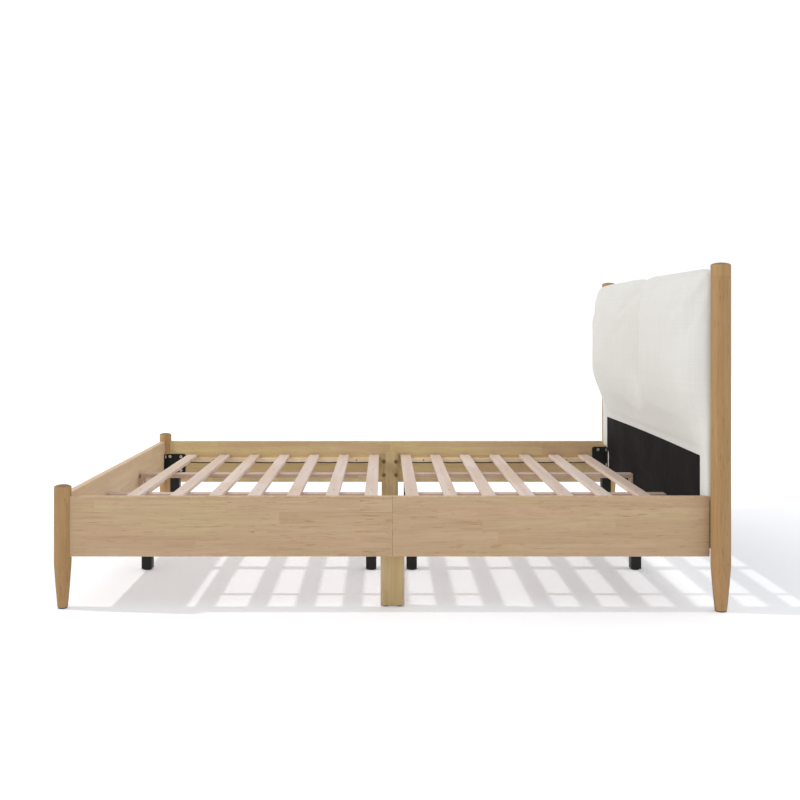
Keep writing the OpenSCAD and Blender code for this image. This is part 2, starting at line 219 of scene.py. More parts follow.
def take_result(piece):
    """Replaces a piece's mesh with what its modifiers make of it."""
    graph = bpy.context.evaluated_depsgraph_get()
    done = bpy.data.meshes.new_from_object(piece.evaluated_get(graph))
    piece.modifiers.clear()
    old, piece.data = piece.data, done
    done.name = piece.name
    bpy.data.meshes.remove(old)


def carve(piece, cutter):
    """Takes the volume of a bmesh out of a piece, for housings and bores."""
    tool = to_object(cutter, piece.name + "_cutter")
    cut = piece.modifiers.new("Housing", "BOOLEAN")
    cut.operation = "DIFFERENCE"
    cut.solver = "EXACT"
    cut.use_self = True
    cut.object = tool
    take_result(piece)
    old = tool.data
    bpy.data.objects.remove(tool)
    bpy.data.meshes.remove(old)


def fit(piece, material, nodes, body=FRAME_BODY, soft=False, sharp=40.0):
    """Gives a piece its finish, tone, shading and place on the frame."""
    mesh = piece.data
    if not mesh.polygons:
        raise RuntimeError(f"{piece.name} came out empty")
    mesh.materials.clear()
    mesh.materials.append(material)
    tone = mesh.attributes.new("tone", "FLOAT", "POINT")
    tone.data.foreach_set("value", [seeded(piece.name).random()] * len(mesh.vertices))
    mesh.shade_smooth()
    if not soft:
        mesh.set_sharp_from_angle(angle=math.radians(sharp))
        level = piece.modifiers.new("Flat faces stay flat", "WEIGHTED_NORMAL")
        level.keep_sharp = True
    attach(piece, body)
    if nodes:
        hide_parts(*nodes)
    return piece


def facing(side, axis):
    """A turn that points a fastener's head along an axis, given for the left side."""
    direction = Vector((axis[0], axis[1] * side, axis[2]))
    return direction.to_track_quat("Z", "Y").to_matrix().to_4x4()


def stamp(bm, template, matrix):
    """Adds a copy of a small mesh at a place."""
    before = len(bm.verts)
    bm.from_mesh(template)
    bm.verts.ensure_lookup_table()
    bmesh.ops.transform(bm, matrix=matrix, verts=bm.verts[before:])


# ---------- node helpers ----------


class Graph:
    """Adds nodes to a tree in columns and joins them."""

    ROWS_PER_COLUMN = 5

    def __init__(self, tree):
        self.tree = tree
        self.count = 0

    def add(self, kind, inputs=None, **settings):
        item = self.tree.nodes.new(kind)
        column, row = divmod(self.count, self.ROWS_PER_COLUMN)
        item.location = (column * 220 - 900, 500 - row * 240)
        self.count += 1
        for key, value in settings.items():
            setattr(item, key, value)
        for key, value in (inputs or {}).items():
            if isinstance(value, bpy.types.NodeSocket):
                self.tree.links.new(value, item.inputs[key])
            else:
                item.inputs[key].default_value = value
        return item

    def math(self, operation, a, b=0.0, clamp=False):
        return self.add("ShaderNodeMath", {0: a, 1: b}, operation=operation, use_clamp=clamp).outputs[0]

    def mix(self, factor, a, b):
        node = self.add("ShaderNodeMix", {0: factor, 6: a, 7: b}, data_type="RGBA")
        return node.outputs[2]

    def blend(self, factor, a, b):
        return self.add("ShaderNodeMix", {0: factor, 2: a, 3: b}).outputs[0]

    def spread(self, value, low, high, to_low=0.0, to_high=1.0):
        return self.add(
            "ShaderNodeMapRange",
            {"Value": value, "From Min": low, "From Max": high, "To Min": to_low, "To Max": to_high}
        ).outputs[0]

    def scaled(self, vector, scale):
        return self.add("ShaderNodeVectorMath", {0: vector, 1: scale}, operation="MULTIPLY").outputs[0]

    def noise(self, vector, w=0.0, detail=2.0, roughness=0.5, scale=1.0, distortion=0.0):
        return self.add(
            "ShaderNodeTexNoise",
            {"Vector": vector, "W": w, "Scale": scale, "Detail": detail, "Roughness": roughness,
             "Distortion": distortion}, noise_dimensions="4D").outputs[0]


def new_group(name, inputs, outputs):
    """Starts a shader node group with named sockets."""
    tree = bpy.data.node_groups.new(name, "ShaderNodeTree")
    for label, kind, default in inputs:
        socket = tree.interface.new_socket(name=label, in_out="INPUT", socket_type="NodeSocket" + kind)
        if default is not None:
            socket.default_value = default
    for label, kind in outputs:
        tree.interface.new_socket(name=label, in_out="OUTPUT", socket_type="NodeSocket" + kind)
    graph = Graph(tree)
    return graph, graph.add("NodeGroupInput").outputs


def finish_group(graph, results):
    graph.add("NodeGroupOutput", results)
    return graph.tree


def wood_grain_group():
    """Glued strips of finger-jointed blocks, with fine grain along X."""
    found = bpy.data.node_groups.get("Wood Grain")
    if found:
        return found
    g, i = new_group(
        "Wood Grain",
        [("Vector", "Vector", None), ("Tone", "Float", 0.5), ("Strip", "Float", 0.045),
         ("Block", "Float", 0.4), ("Light", "Color", (0.6, 0.45, 0.3, 1)),
         ("Dark", "Color", (0.4, 0.25, 0.13, 1)), ("Warm", "Color", (0.5, 0.35, 0.2, 1)),
         ("Figure", "Float", 0.5), ("Blocks", "Float", 0.5)],
        [("Color", "Color"), ("Height", "Float"), ("Roughness", "Float")])
    along, across, up = g.add("ShaderNodeSeparateXYZ", {0: i["Vector"]}).outputs
    tone = g.math("MULTIPLY", i["Tone"], 37.0)
    strip_at = g.math("ADD", g.math("DIVIDE", up, i["Strip"]), tone)
    strip = g.math("FLOOR", strip_at)
    strip_seed = g.add("ShaderNodeTexWhiteNoise", {"W": strip}, noise_dimensions="1D").outputs[0]
    block_at = g.math("ADD", g.math("DIVIDE", along, i["Block"]), g.math("MULTIPLY", strip_seed, 9.0))
    block = g.math("FLOOR", block_at)
    key = g.add("ShaderNodeCombineXYZ", {0: strip, 1: block, 2: tone}).outputs[0]
    seeds = g.add("ShaderNodeTexWhiteNoise", {"Vector": key}, noise_dimensions="3D")
    seed_a = seeds.outputs["Value"]
    seed_b = g.add("ShaderNodeSeparateColor", {0: seeds.outputs["Color"]}).outputs[1]
    shift = g.math("ADD", tone, g.math("MULTIPLY", seed_a, 20.0))
    fine = g.noise(g.scaled(i["Vector"], (5.0, 260.0, 260.0)), shift, 3.0, 0.6)
    figure = g.noise(g.scaled(i["Vector"], (1.3, 24.0, 24.0)), shift, 4.0, 0.55, distortion=0.7)
    bands = g.math("ABSOLUTE", g.math("SINE", g.math("MULTIPLY", figure, 26.0)))
    pores = g.noise(g.scaled(i["Vector"], (34.0, 900.0, 900.0)), shift, 1.0, 0.5)
    pore = g.spread(pores, 0.62, 0.74)
    streak = g.spread(g.noise(g.scaled(i["Vector"], (6.0, 150.0, 150.0)), shift, 2.0, 0.5), 0.56, 0.72)
    dark_part = g.math("ADD", g.math("MULTIPLY", bands, 0.26), g.math("MULTIPLY", fine, 0.42))
    dark_part = g.math("ADD", dark_part, g.math("MULTIPLY", streak, 0.40))
    dash = g.spread(g.noise(g.scaled(i["Vector"], (24.0, 210.0, 210.0)), shift, 1.0, 0.5), 0.62, 0.71)
    dark_part = g.math("ADD", dark_part, g.math("MULTIPLY", dash, 0.55))
    dark_part = g.math("MULTIPLY", dark_part, i["Figure"])
    block_part = g.math("MULTIPLY", g.math("SUBTRACT", seed_a, 0.35), i["Blocks"])
    amount = g.math("ADD", dark_part, block_part, clamp=True)
    hue = g.noise(g.scaled(i["Vector"], (2.2, 34.0, 34.0)), g.math("ADD", tone, 5.0), 2.0, 0.5)
    warmth = g.math("ADD", g.math("MULTIPLY", seed_b, 0.6), g.spread(hue, 0.35, 0.65, 0.0, 0.6), clamp=True)
    base = g.mix(warmth, i["Light"], i["Warm"])
    wood = g.mix(amount, base, i["Dark"])
    seam_up = g.math("ABSOLUTE", g.math("SUBTRACT", g.math("FRACT", strip_at), 0.5))
    seam_on = g.math("ABSOLUTE", g.math("SUBTRACT", g.math("FRACT", block_at), 0.5))
    seam = g.math(
        "MAXIMUM", g.spread(seam_up, 0.488, 0.5, 0.0, 0.22), g.spread(seam_on, 0.4985, 0.5, 0.0, 0.30))
    spot = g.math("MAXIMUM", seam, g.math("MULTIPLY", pore, 0.22))
    wood = g.mix(spot, wood, i["Dark"])
    height = g.math("SUBTRACT", g.math("MULTIPLY", fine, 0.7), g.math("MULTIPLY", pore, 0.5))
    height = g.math("SUBTRACT", height, seam)
    rough = g.spread(fine, 0.3, 0.7, 0.50, 0.62)
    return finish_group(g, {"Color": wood, "Height": height, "Roughness": rough})


def edge_wear_and_highlight_group():
    """A broken mask along the rounded edges of a piece, for wear and a painted highlight."""
    found = bpy.data.node_groups.get("Edge Wear")
    if found:
        return found
    g, i = new_group(
        "Edge Wear", [("Vector", "Vector", None), ("Amount", "Float", 0.5), ("Patch", "Float", 60.0)],
        [("Mask", "Float")])
    edge = g.add("ShaderNodeAttribute", attribute_name="edge").outputs["Fac"]
    patch = g.spread(g.noise(i["Vector"], 0.0, 3.0, 0.6, scale=i["Patch"]), 0.42, 0.62)
    mask = g.math("MULTIPLY", g.math("MULTIPLY", edge, patch), i["Amount"], clamp=True)
    return finish_group(g, {"Mask": mask})


def weave_group():
    """A plain weave of uneven threads, with painted shade in the hollows between them, laid on the nearest of three
    planes.
    """
    found = bpy.data.node_groups.get("Plain Weave")
    if found:
        return found
    g, i = new_group(
        "Plain Weave",
        [("Vector", "Vector", None), ("Normal", "Vector", None), ("Pitch", "Float", 0.0016),
         ("Light", "Color", (0.8, 0.78, 0.73, 1)), ("Dark", "Color", (0.6, 0.57, 0.52, 1))],
        [("Color", "Color"), ("Height", "Float"), ("Roughness", "Float")])
    x, y, z = g.add("ShaderNodeSeparateXYZ", {0: i["Vector"]}).outputs
    _, side, top = g.add("ShaderNodeSeparateXYZ", {0: i["Normal"]}).outputs
    on_side = g.math("GREATER_THAN", g.math("ABSOLUTE", side), 0.72)
    on_top = g.math("GREATER_THAN", g.math("ABSOLUTE", top), 0.72)
    wobble = g.math("MULTIPLY", g.noise(i["Vector"], 3.0, 1.0, scale=40.0), 0.0012)
    across = g.math("DIVIDE", g.math("ADD", g.blend(on_side, y, x), wobble), i["Pitch"])
    along = g.math("DIVIDE", g.math("ADD", g.blend(on_top, z, x), wobble), i["Pitch"])
    warp_no, weft_no = g.math("FLOOR", across), g.math("FLOOR", along)
    warp = g.math("ABSOLUTE", g.math("SINE", g.math("MULTIPLY", across, math.pi)))
    weft = g.math("ABSOLUTE", g.math("SINE", g.math("MULTIPLY", along, math.pi)))
    over = g.math("FLOORED_MODULO", g.math("ADD", warp_no, weft_no), 2.0)
    height = g.blend(over, g.math("MULTIPLY", weft, 0.85), warp)
    warp_tone = g.add("ShaderNodeTexWhiteNoise", {"W": warp_no}, noise_dimensions="1D").outputs[0]
    weft_tone = g.add(
        "ShaderNodeTexWhiteNoise", {"W": g.math("ADD", weft_no, 517.0)}, noise_dimensions="1D").outputs[0]
    thread = g.blend(over, weft_tone, warp_tone)
    slub_place = g.add("ShaderNodeCombineXYZ", {0: across, 1: along, 2: 0.0}).outputs[0]
    slub = g.spread(g.noise(g.scaled(slub_place, (0.02, 0.9, 1.0)), 1.0, 2.0, 0.6), 0.60, 0.72)
    soft = g.noise(i["Vector"], 7.0, 3.0, 0.6, scale=9.0)
    # Painted shade: the cloth is darkened in the hollows between the raised threads.
    painted_hollow_shade = g.math("SUBTRACT", 1.0, height)
    shade = g.math("ADD", g.math("MULTIPLY", thread, 0.30), g.math("MULTIPLY", painted_hollow_shade, 0.34))
    shade = g.math("ADD", shade, g.math("MULTIPLY", g.math("SUBTRACT", soft, 0.5), 0.30), clamp=True)
    cloth = g.mix(g.math("SUBTRACT", shade, g.math("MULTIPLY", slub, 0.2), clamp=True), i["Light"], i["Dark"])
    raised = g.math("ADD", height, g.math("MULTIPLY", slub, 0.6))
    rough = g.spread(thread, 0.0, 1.0, 0.78, 0.92)
    return finish_group(g, {"Color": cloth, "Height": raised, "Roughness": rough})


def speckle_group():
    """Fine grains for powder coat, pressed cloth and moulded plastic."""
    found = bpy.data.node_groups.get("Fine Speckle")
    if found:
        return found
    g, i = new_group(
        "Fine Speckle", [("Vector", "Vector", None), ("Grains", "Float", 900.0), ("Soft", "Float", 6.0)],
        [("Mask", "Float"), ("Height", "Float"), ("Soft Mask", "Float")])
    grain = g.noise(i["Vector"], 0.0, 2.0, 0.6, scale=i["Grains"])
    fibre = g.noise(g.scaled(i["Vector"], (1.0, 1.0, 0.35)), 4.0, 2.0, 0.6, scale=i["Grains"])
    soft = g.noise(i["Vector"], 2.0, 3.0, 0.6, scale=i["Soft"])
    mask = g.spread(grain, 0.45, 0.7)
    height = g.math("ADD", g.math("MULTIPLY", grain, 0.5), g.math("MULTIPLY", fibre, 0.5))
    return finish_group(g, {"Mask": mask, "Height": height, "Soft Mask": g.spread(soft, 0.35, 0.65)})


def rgba(value):
    return (*value, 1.0)


def start_material(name):
    """A new material's graph, object coordinates and normal, or None if the material is there already."""
    if name in bpy.data.materials:
        return None
    material = bpy.data.materials.new(name)
    material.use_nodes = True
    material.node_tree.nodes.clear()
    graph = Graph(material.node_tree)
    place = graph.add("ShaderNodeTexCoord")
    return graph, place.outputs["Object"], place.outputs["Normal"]


def end_material(name, graph, sockets, bump, distance, height):
    """Adds the bump and the shader, and returns the material."""
    normal = graph.add(
        "ShaderNodeBump", {"Strength": bump, "Distance": distance, "Height": height}).outputs[0]
    shader = graph.add("ShaderNodeBsdfPrincipled", {**sockets, "Normal": normal})
    graph.add("ShaderNodeOutputMaterial", {"Surface": shader.outputs[0]})
    return bpy.data.materials[name]


GRAIN_TURN = {"X": (0.0, 0.0, 0.0), "Y": (0.0, 0.0, -math.pi / 2), "Z": (0.0, math.pi / 2, 0.0)}


def wood(name, grain, light, dark, warm, strip, block, figure=0.6, blocks=0.5, shift=(0.0, 0.0, 0.0),
         end_grain=0.0, painted_rim_shade=0.0):
    """An oiled wood whose grain runs along one axis, darker on upward end grain, with painted shade where it turns
    away at a glancing angle.
    """
    begun = start_material(name)
    if begun is None:
        return bpy.data.materials[name]
    g, place, normal = begun
    turned = g.add(
        "ShaderNodeMapping", {"Vector": place, "Location": shift, "Rotation": GRAIN_TURN[grain]}).outputs[0]
    tone = g.add("ShaderNodeAttribute", attribute_name="tone").outputs["Fac"]
    grown = g.add("ShaderNodeGroup", node_tree=wood_grain_group())
    for key, value in {
            "Strip": strip, "Block": block, "Light": rgba(light), "Dark": rgba(dark), "Warm": rgba(warm),
            "Figure": figure, "Blocks": blocks}.items():
        grown.inputs[key].default_value = value
    g.tree.links.new(turned, grown.inputs["Vector"])
    g.tree.links.new(tone, grown.inputs["Tone"])
    worn_and_lit = g.add("ShaderNodeGroup", node_tree=edge_wear_and_highlight_group())
    worn_and_lit.inputs["Amount"].default_value = 0.45
    g.tree.links.new(place, worn_and_lit.inputs["Vector"])
    # The rounded edges are painted paler: partly wear, partly a painted highlight.
    pale_wear_and_highlight = tuple(min(1.0, c * 1.22 + 0.03) for c in light)
    tinted = g.mix(worn_and_lit.outputs["Mask"], grown.outputs["Color"], rgba(pale_wear_and_highlight))
    if end_grain:
        upward = g.add("ShaderNodeSeparateXYZ", {0: normal}).outputs[2]
        tinted = g.mix(g.spread(upward, 0.45, 0.9, 0.0, end_grain), tinted, rgba(tuple(c * 0.55 for c in dark)))
    # Painted shade: darker where the surface turns away from the view at a glancing angle.
    if painted_rim_shade:
        turning = g.add("ShaderNodeLayerWeight", {"Blend": 0.5}).outputs["Facing"]
        tinted = g.mix(g.spread(turning, 0.2, 0.9, 0.0, painted_rim_shade), tinted, rgba(tuple(c * 0.6 for c in dark)))
    rough = g.math("SUBTRACT", grown.outputs["Roughness"], g.math("MULTIPLY", worn_and_lit.outputs["Mask"], 0.12))
    return end_material(
        name, g, {"Base Color": tinted, "Roughness": rough, "Specular IOR Level": 0.35},
        0.35, 0.0006, grown.outputs["Height"])


def cover_cloth(sizes, colours):
    name = "Woven cover cloth"
    begun = start_material(name)
    if begun is None:
        return bpy.data.materials[name]
    g, place, normal = begun
    woven = g.add("ShaderNodeGroup", node_tree=weave_group())
    woven.inputs["Pitch"].default_value = sizes.thread
    woven.inputs["Light"].default_value = rgba(colours.cover)
    woven.inputs["Dark"].default_value = rgba(colours.cover_shade)
    g.tree.links.new(place, woven.inputs["Vector"])
    g.tree.links.new(normal, woven.inputs["Normal"])
    return end_material(
        name, g,
        {"Base Color": woven.outputs["Color"], "Roughness": woven.outputs["Roughness"],
         "Sheen Weight": 0.25, "Sheen Roughness": 0.5, "Specular IOR Level": 0.2},
        0.45, 0.0005, woven.outputs["Height"])


def speckled(name, base, edge, grains, soft, rough, bump, distance, metallic=0.0, wear=0.3, **sockets):
    """A material of fine grains over one colour, brighter along its edges with wear and a painted highlight."""
    begun = start_material(name)
    if begun is None:
        return bpy.data.materials[name]
    g, place, _ = begun
    fine = g.add("ShaderNodeGroup", {"Vector": place}, node_tree=speckle_group())
    fine.inputs["Grains"].default_value = grains
    fine.inputs["Soft"].default_value = soft
    worn_and_lit = g.add("ShaderNodeGroup", node_tree=edge_wear_and_highlight_group())
    worn_and_lit.inputs["Amount"].default_value = wear
    g.tree.links.new(place, worn_and_lit.inputs["Vector"])
    deep = tuple(c * 0.72 for c in base)
    tinted = g.mix(g.math("MULTIPLY", fine.outputs["Soft Mask"], 0.6), rgba(base), rgba(deep))
    tinted = g.mix(g.math("MULTIPLY", fine.outputs["Mask"], 0.35), tinted, rgba(tuple(c * 1.5 for c in base)))
    # Edges take the edge colour: partly wear, partly a painted highlight.
    tinted = g.mix(worn_and_lit.outputs["Mask"], tinted, rgba(edge))
    roughness = g.spread(fine.outputs["Soft Mask"], 0.0, 1.0, rough - 0.07, rough + 0.07)
    return end_material(
        name, g, {"Base Color": tinted, "Roughness": roughness, "Metallic": metallic, **sockets},
        bump, distance, fine.outputs["Height"])


def rail_oak(c):
    return wood("Rail oak", "X", c.rail_light, c.rail_dark, c.rail_warm, 0.038, 0.42, 0.85, 0.22)


# A lit copy of the rail oak: the left rails are painted lighter and yellower, standing in for the light that falls on
# the far rails.
def lit_left_rail_oak(c):
    return wood("Left rail oak", "X", c.left_lit_light, c.left_lit_dark, c.rail_warm, 0.038, 0.42, 0.8, 0.30)


# Painted light: the footboard wood is lighter than the rail oak, standing in for light from the head side.
def lit_footboard_oak(c):
    return wood("Footboard oak", "Y", c.foot_light, c.foot_dark, c.rail_warm, 0.052, 0.36, 0.8, 0.40)


def turned_oak(c):
    return wood("Turned oak", "Z", c.turned_light, c.turned_dark, c.turned_warm, 0.5, 0.9, 0.75, 0.25,
                end_grain=0.55, painted_rim_shade=0.35)


def slat_pine(c):
    return wood("Slat pine", "Y", c.slat_light, c.slat_dark, c.beam_light, 0.4, 0.55, 0.55, 0.30)


def beam_pine(c):
    return wood("Beam pine", "X", c.beam_light, c.beam_dark, c.slat_dark, 0.3, 0.6, 0.62, 0.30)


def ledge_pine(c):
    return wood("Ledge pine", "X", c.ledge_light, c.ledge_dark, c.rail_light, 0.3, 0.5, 0.60, 0.35)


def powder_coat(c):
    return speckled("Black powder coat", c.black, (0.16, 0.16, 0.16), 1500.0, 7.0, 0.46, 0.3, 0.0003,
                    wear=0.25, **{"Specular IOR Level": 0.3})


def moulded_plastic(c):
    return speckled("Black moulded plastic", c.black, (0.09, 0.09, 0.09), 2600.0, 20.0, 0.5, 0.2, 0.0002,
                    wear=0.4)


def zinc_plate(c):
    return speckled("Zinc plate", c.zinc, (0.86, 0.85, 0.82), 1200.0, 90.0, 0.34, 0.15, 0.0002,
                    metallic=1.0, wear=0.8)


def bronze_finish(c):
    return speckled("Bronze finish", c.bronze, (0.40, 0.28, 0.14), 1200.0, 90.0, 0.42, 0.15, 0.0002,
                    metallic=0.7, wear=0.5)


def pressed_lining(c):
    return speckled("Pressed black lining", c.lining, c.lining, 1100.0, 5.0, 0.90, 0.5, 0.0006, wear=0.0,
                    **{"Specular IOR Level": 0.15})


def webbing(c):
    return speckled("Black webbing", c.black, c.black, 1600.0, 30.0, 0.85, 0.5, 0.0004, wear=0.0,
                    **{"Specular IOR Level": 0.15})


def looks(context):
    return context.scene.bed_sizes, context.scene.bed_colours


# ---------- stage ----------


class BED_OT_stage(bpy.types.Operator):
    """Pale floor, soft lights and the camera"""

    bl_idname = "bed.stage"
    bl_label = "Stage"

    def execute(self, context):
        look, colours = context.scene.bed_stage, context.scene.bed_colours
        bm = bmesh.new()
        bmesh.ops.create_grid(bm, x_segments=8, y_segments=8, size=14.0)
        floor = to_object(bm, "studio_floor")
        name = "Studio floor"
        g, place, _ = start_material(name)
        fine = g.add("ShaderNodeGroup", {"Vector": place}, node_tree=speckle_group())
        fine.inputs["Grains"].default_value = 300.0
        tint = g.mix(fine.outputs["Soft Mask"], rgba(colours.floor), rgba(tuple(c * 0.985 for c in colours.floor)))
        # The floor glows: painted light that lifts its shade near the bed and grows brighter further out.
        reach = g.add("ShaderNodeVectorMath", {0: place}, operation="LENGTH").outputs["Value"]
        glow = g.mix(g.spread(reach, 1.4, 5.5), (0.135, 0.140, 0.155, 1.0), (0.40, 0.40, 0.40, 1.0))
        floor.data.materials.append(end_material(
            name, g, {"Base Color": tint, "Roughness": 0.9, "Specular IOR Level": 0.1,
                      "Emission Color": glow, "Emission Strength": 1.0},
            0.05, 0.0002, fine.outputs["Height"]))

        lamp = bpy.data.lights.new("main_lamp", "POINT")
        lamp.energy = look.lamp_power
        lamp.shadow_soft_size = 0.06
        lamp.color = (1.0, 0.99, 0.97)
        lamp.use_nodes = True
        lamp.node_tree.nodes.clear()
        even = Graph(lamp.node_tree)
        steady = even.add("ShaderNodeLightFalloff", {"Strength": 1.0}).outputs["Constant"]
        shine = even.add("ShaderNodeEmission", {"Strength": steady})
        even.add("ShaderNodeOutputLight", {"Surface": shine.outputs[0]})
        self.hang(lamp, look.lamp)
        softbox = bpy.data.lights.new("head_softbox", "AREA")
        softbox.shape = "SQUARE"
        softbox.size = 2.5
        softbox.energy = 14.0
        self.hang(softbox, (2.6, 0.5, 3.2), (-0.6, 0.0, 0.2))

        world = bpy.data.worlds.new("Pale surround")
        context.scene.world = world
        world.use_nodes = True
        world.node_tree.nodes.clear()
        w = Graph(world.node_tree)
        seen = w.add("ShaderNodeLightPath").outputs["Is Camera Ray"]
        east, north, _ = w.add(
            "ShaderNodeSeparateXYZ", {0: w.add("ShaderNodeTexCoord").outputs["Object"]}).outputs
        slant = w.math("ADD", w.math("MULTIPLY", east, 0.16), w.math("MULTIPLY", north, 0.06))
        strength = w.math("ADD", slant, look.surround)
        lit = w.add("ShaderNodeBackground", {"Color": (0.97, 0.985, 1.0, 1.0), "Strength": strength})
        plain = w.add("ShaderNodeBackground", {"Color": (1.0, 1.0, 1.0, 1.0), "Strength": 1.05})
        both = w.add("ShaderNodeMixShader", {0: seen, 1: lit.outputs[0], 2: plain.outputs[0]})
        w.add("ShaderNodeOutputWorld", {"Surface": both.outputs[0]})
        context.scene.view_settings.view_transform = "Standard"

        camera_data = bpy.data.cameras.new("studio_camera")
        camera_data.lens = look.lens
        camera_data.sensor_width = 36.0
        camera_data.shift_x = 0.0199
        camera_data.shift_y = -0.0956
        camera = bpy.data.objects.new("studio_camera", camera_data)
        camera.location = look.eye
        camera.rotation_euler = (math.pi / 2, 0.0, 0.0)
        context.scene.collection.objects.link(camera)
        context.scene.camera = camera
        return {"FINISHED"}

    @staticmethod
    def hang(light, place, target=None):
        held = bpy.data.objects.new(light.name, light)
        held.location = place
        if target:
            held.rotation_euler = (Vector(target) - Vector(place)).to_track_quat("-Z", "Y").to_euler()
        bpy.context.scene.collection.objects.link(held)


# ---------- boards ----------


def board(node, name, material, radius):
    """A sawn and planed board with softened edges, in the box of one node."""
    bm = new_mesh()
    verts = add_block(bm, *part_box(node))
    round_edges(bm, edges_of(verts), radius)
    return fit(to_object(bm, name), material, [node])


class BED_OT_rails(bpy.types.Operator):
    """Side rails, in two halves a side, and the footboard"""

    bl_idname = "bed.rails"
    bl_label = "Rails and Footboard"

    def execute(self, context):
        sizes, colours = looks(context)
        for half in HALVES:
            for side in SIDES:
                # The left rails take the painted lit copy of the rail oak.
                oak = lit_left_rail_oak(colours) if side == "left" else rail_oak(colours)
                board(f"side_rail_{half}_{side}", f"rail_board_{half}_{side}", oak, sizes.board_edge)
        board("footboard", "foot_board", lit_footboard_oak(colours), sizes.board_edge)
        return {"FINISHED"}


class BED_OT_ledges(bpy.types.Operator):
    """Ledges along the rails, which carry the slat ends"""

    bl_idname = "bed.ledges"
    bl_label = "Ledges"

    def execute(self, context):
        sizes, colours = looks(context)
        for half in HALVES:
            for side in SIDES:
                board(f"ledge_{half}_{side}", f"slat_ledge_{half}_{side}", ledge_pine(colours),
                      sizes.slat_edge)
        return {"FINISHED"}


class BED_OT_slats(bpy.types.Operator):
    """The slats under the mattress"""

    bl_idname = "bed.slats"
    bl_label = "Slats"

    def execute(self, context):
        sizes, colours = looks(context)
        for number in range(1, SLATS + 1):
            board(f"slat_{number}", f"bed_slat_{number:02d}", slat_pine(colours), sizes.slat_edge)
        return {"FINISHED"}


def add_rod(bm, centre, radius, low, high, segments=32):
    """Adds an upright round bar between two heights."""
    bmesh.ops.create_cone(
        bm, cap_ends=True, segments=segments, radius1=radius, radius2=radius, depth=high - low,
        matrix=Matrix.Translation((*centre, (low + high) / 2)))


class BED_OT_beams(bpy.types.Operator):
    """Centre beams under the slats, and the cleats that carry their ends"""

    bl_idname = "bed.beams"
    bl_label = "Centre Beams"

    def execute(self, context):
        sizes, colours = looks(context)
        for half in HALVES:
            for side in SIDES:
                node = f"centre_beam_{half}_{side}"
                low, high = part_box(node)
                bm = new_mesh()
                round_edges(bm, edges_of(add_block(bm, low, high)), sizes.slat_edge)
                beam = to_object(bm, f"long_beam_{half}_{side}")
                bores = new_mesh()
                for row in ROWS:
                    if row.startswith(half):
                        leg_low, leg_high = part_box(f"support_leg_{row}_{side}")
                        at = (leg_low + leg_high) / 2
                        add_rod(bores, (at.x, at.y), 0.007, high.z - 0.0055, high.z + 0.002)
                carve(beam, bores)
                fit(beam, beam_pine(colours), [node])
        bm = new_mesh()
        low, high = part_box("beam_cleats")
        for side in SIDES:
            beam_low, beam_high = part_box(f"centre_beam_foot_{side}")
            add_block(bm, (low.x, beam_low.y, low.z), (low.x + 0.021, beam_high.y, high.z))
            add_block(bm, (high.x - 0.012, beam_low.y, low.z), (high.x, beam_high.y, high.z))
        round_edges(bm, list(bm.edges), sizes.slat_edge)
        fit(to_object(bm, "end_cleats"), beam_pine(colours), ["beam_cleats"])
        return {"FINISHED"}


# ---------- legs and posts ----------


def turned_profile(radius, tip, height, pad, taper, dome):
    """Radius and height of a leg's outline: chamfered tip, tapered foot, shaft and shallow dome."""
    outline = [(0.0, pad), (tip - 0.0015, pad), (tip - 0.0004, pad + 0.0006), (tip, pad + 0.002)]
    for k in range(1, 9):
        part = k / 9
        swell = 0.0006 * math.sin(math.pi * part)
        outline.append((tip + (radius - tip) * part + swell, pad + 0.002 + (taper - pad - 0.002) * part))
    outline += [(radius - 0.0002, taper - 0.004), (radius, taper + 0.004)]
    steps = 6
    outline += [(radius, taper + (height - dome - taper) * k / steps) for k in range(1, steps + 1)]
    for degrees in range(9, 90, 9):
        angle = math.radians(degrees)
        outline.append((radius * math.cos(angle), height - dome + dome * math.sin(angle)))
    return outline + [(0.0, height)]


class BED_OT_turned_legs(bpy.types.Operator):
    """Round foot legs and head posts, with their housings"""

    bl_idname = "bed.turned_legs"
    bl_label = "Turned Legs and Posts"

    def execute(self, context):
        sizes, colours = looks(context)
        pad = 0.003
        for side, sign in SIDES.items():
            for node, tip, name in (
                    (f"foot_leg_{side}", sizes.leg_tip, f"turned_foot_leg_{side}"),
                    (f"head_post_{side}", sizes.post_tip, f"turned_head_post_{side}")):
                low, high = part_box(node)
                radius = (high.x - low.x) / 2
                # The housing cuts into one side of the round, so the axis comes from the outer side.
                outer = high.y if sign > 0 else low.y
                axis = ((low.x + high.x) / 2, outer - sign * radius)
                bm = new_mesh()
                spin_profile(bm, turned_profile(radius, tip, high.z, pad, sizes.taper, sizes.dome), axis, 64)
                leg = to_object(bm, name)
                cutter = new_mesh()
                if node.startswith("foot"):
                    self.cut_foot(cutter, side, sign, axis, radius)
                else:
                    inner = sorted((axis[1] - sign * 2 * radius, CORE_HIGH.y * sign))
                    add_block(cutter, (axis[0] - 2 * radius, inner[0], CORE_LOW.z),
                              (axis[0] + 2 * radius, inner[1], PAD_HIGH.z))
                carve(leg, cutter)
                fit(leg, turned_oak(colours), [node])
        return {"FINISHED"}

    @staticmethod
    def cut_foot(cutter, side, sign, axis, radius):
        rail_low, rail_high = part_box(f"side_rail_foot_{side}")
        add_block(cutter, rail_low, (axis[0] + 2 * radius, rail_high.y, rail_high.z))
        board_low, board_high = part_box("footboard")
        inner = axis[1] - sign * 2 * radius
        ends = sorted((inner, board_high.y * sign))
        add_block(cutter, (board_low.x, ends[0], board_low.z), (board_high.x, ends[1], board_high.z))
        plate_low, plate_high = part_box(f"corner_bracket_foot_{side}")
        ends = sorted((inner, rail_low.y if sign > 0 else rail_high.y))
        add_block(cutter, (plate_low.x, ends[0], plate_low.z), (axis[0] + 2 * radius, ends[1], plate_high.z))


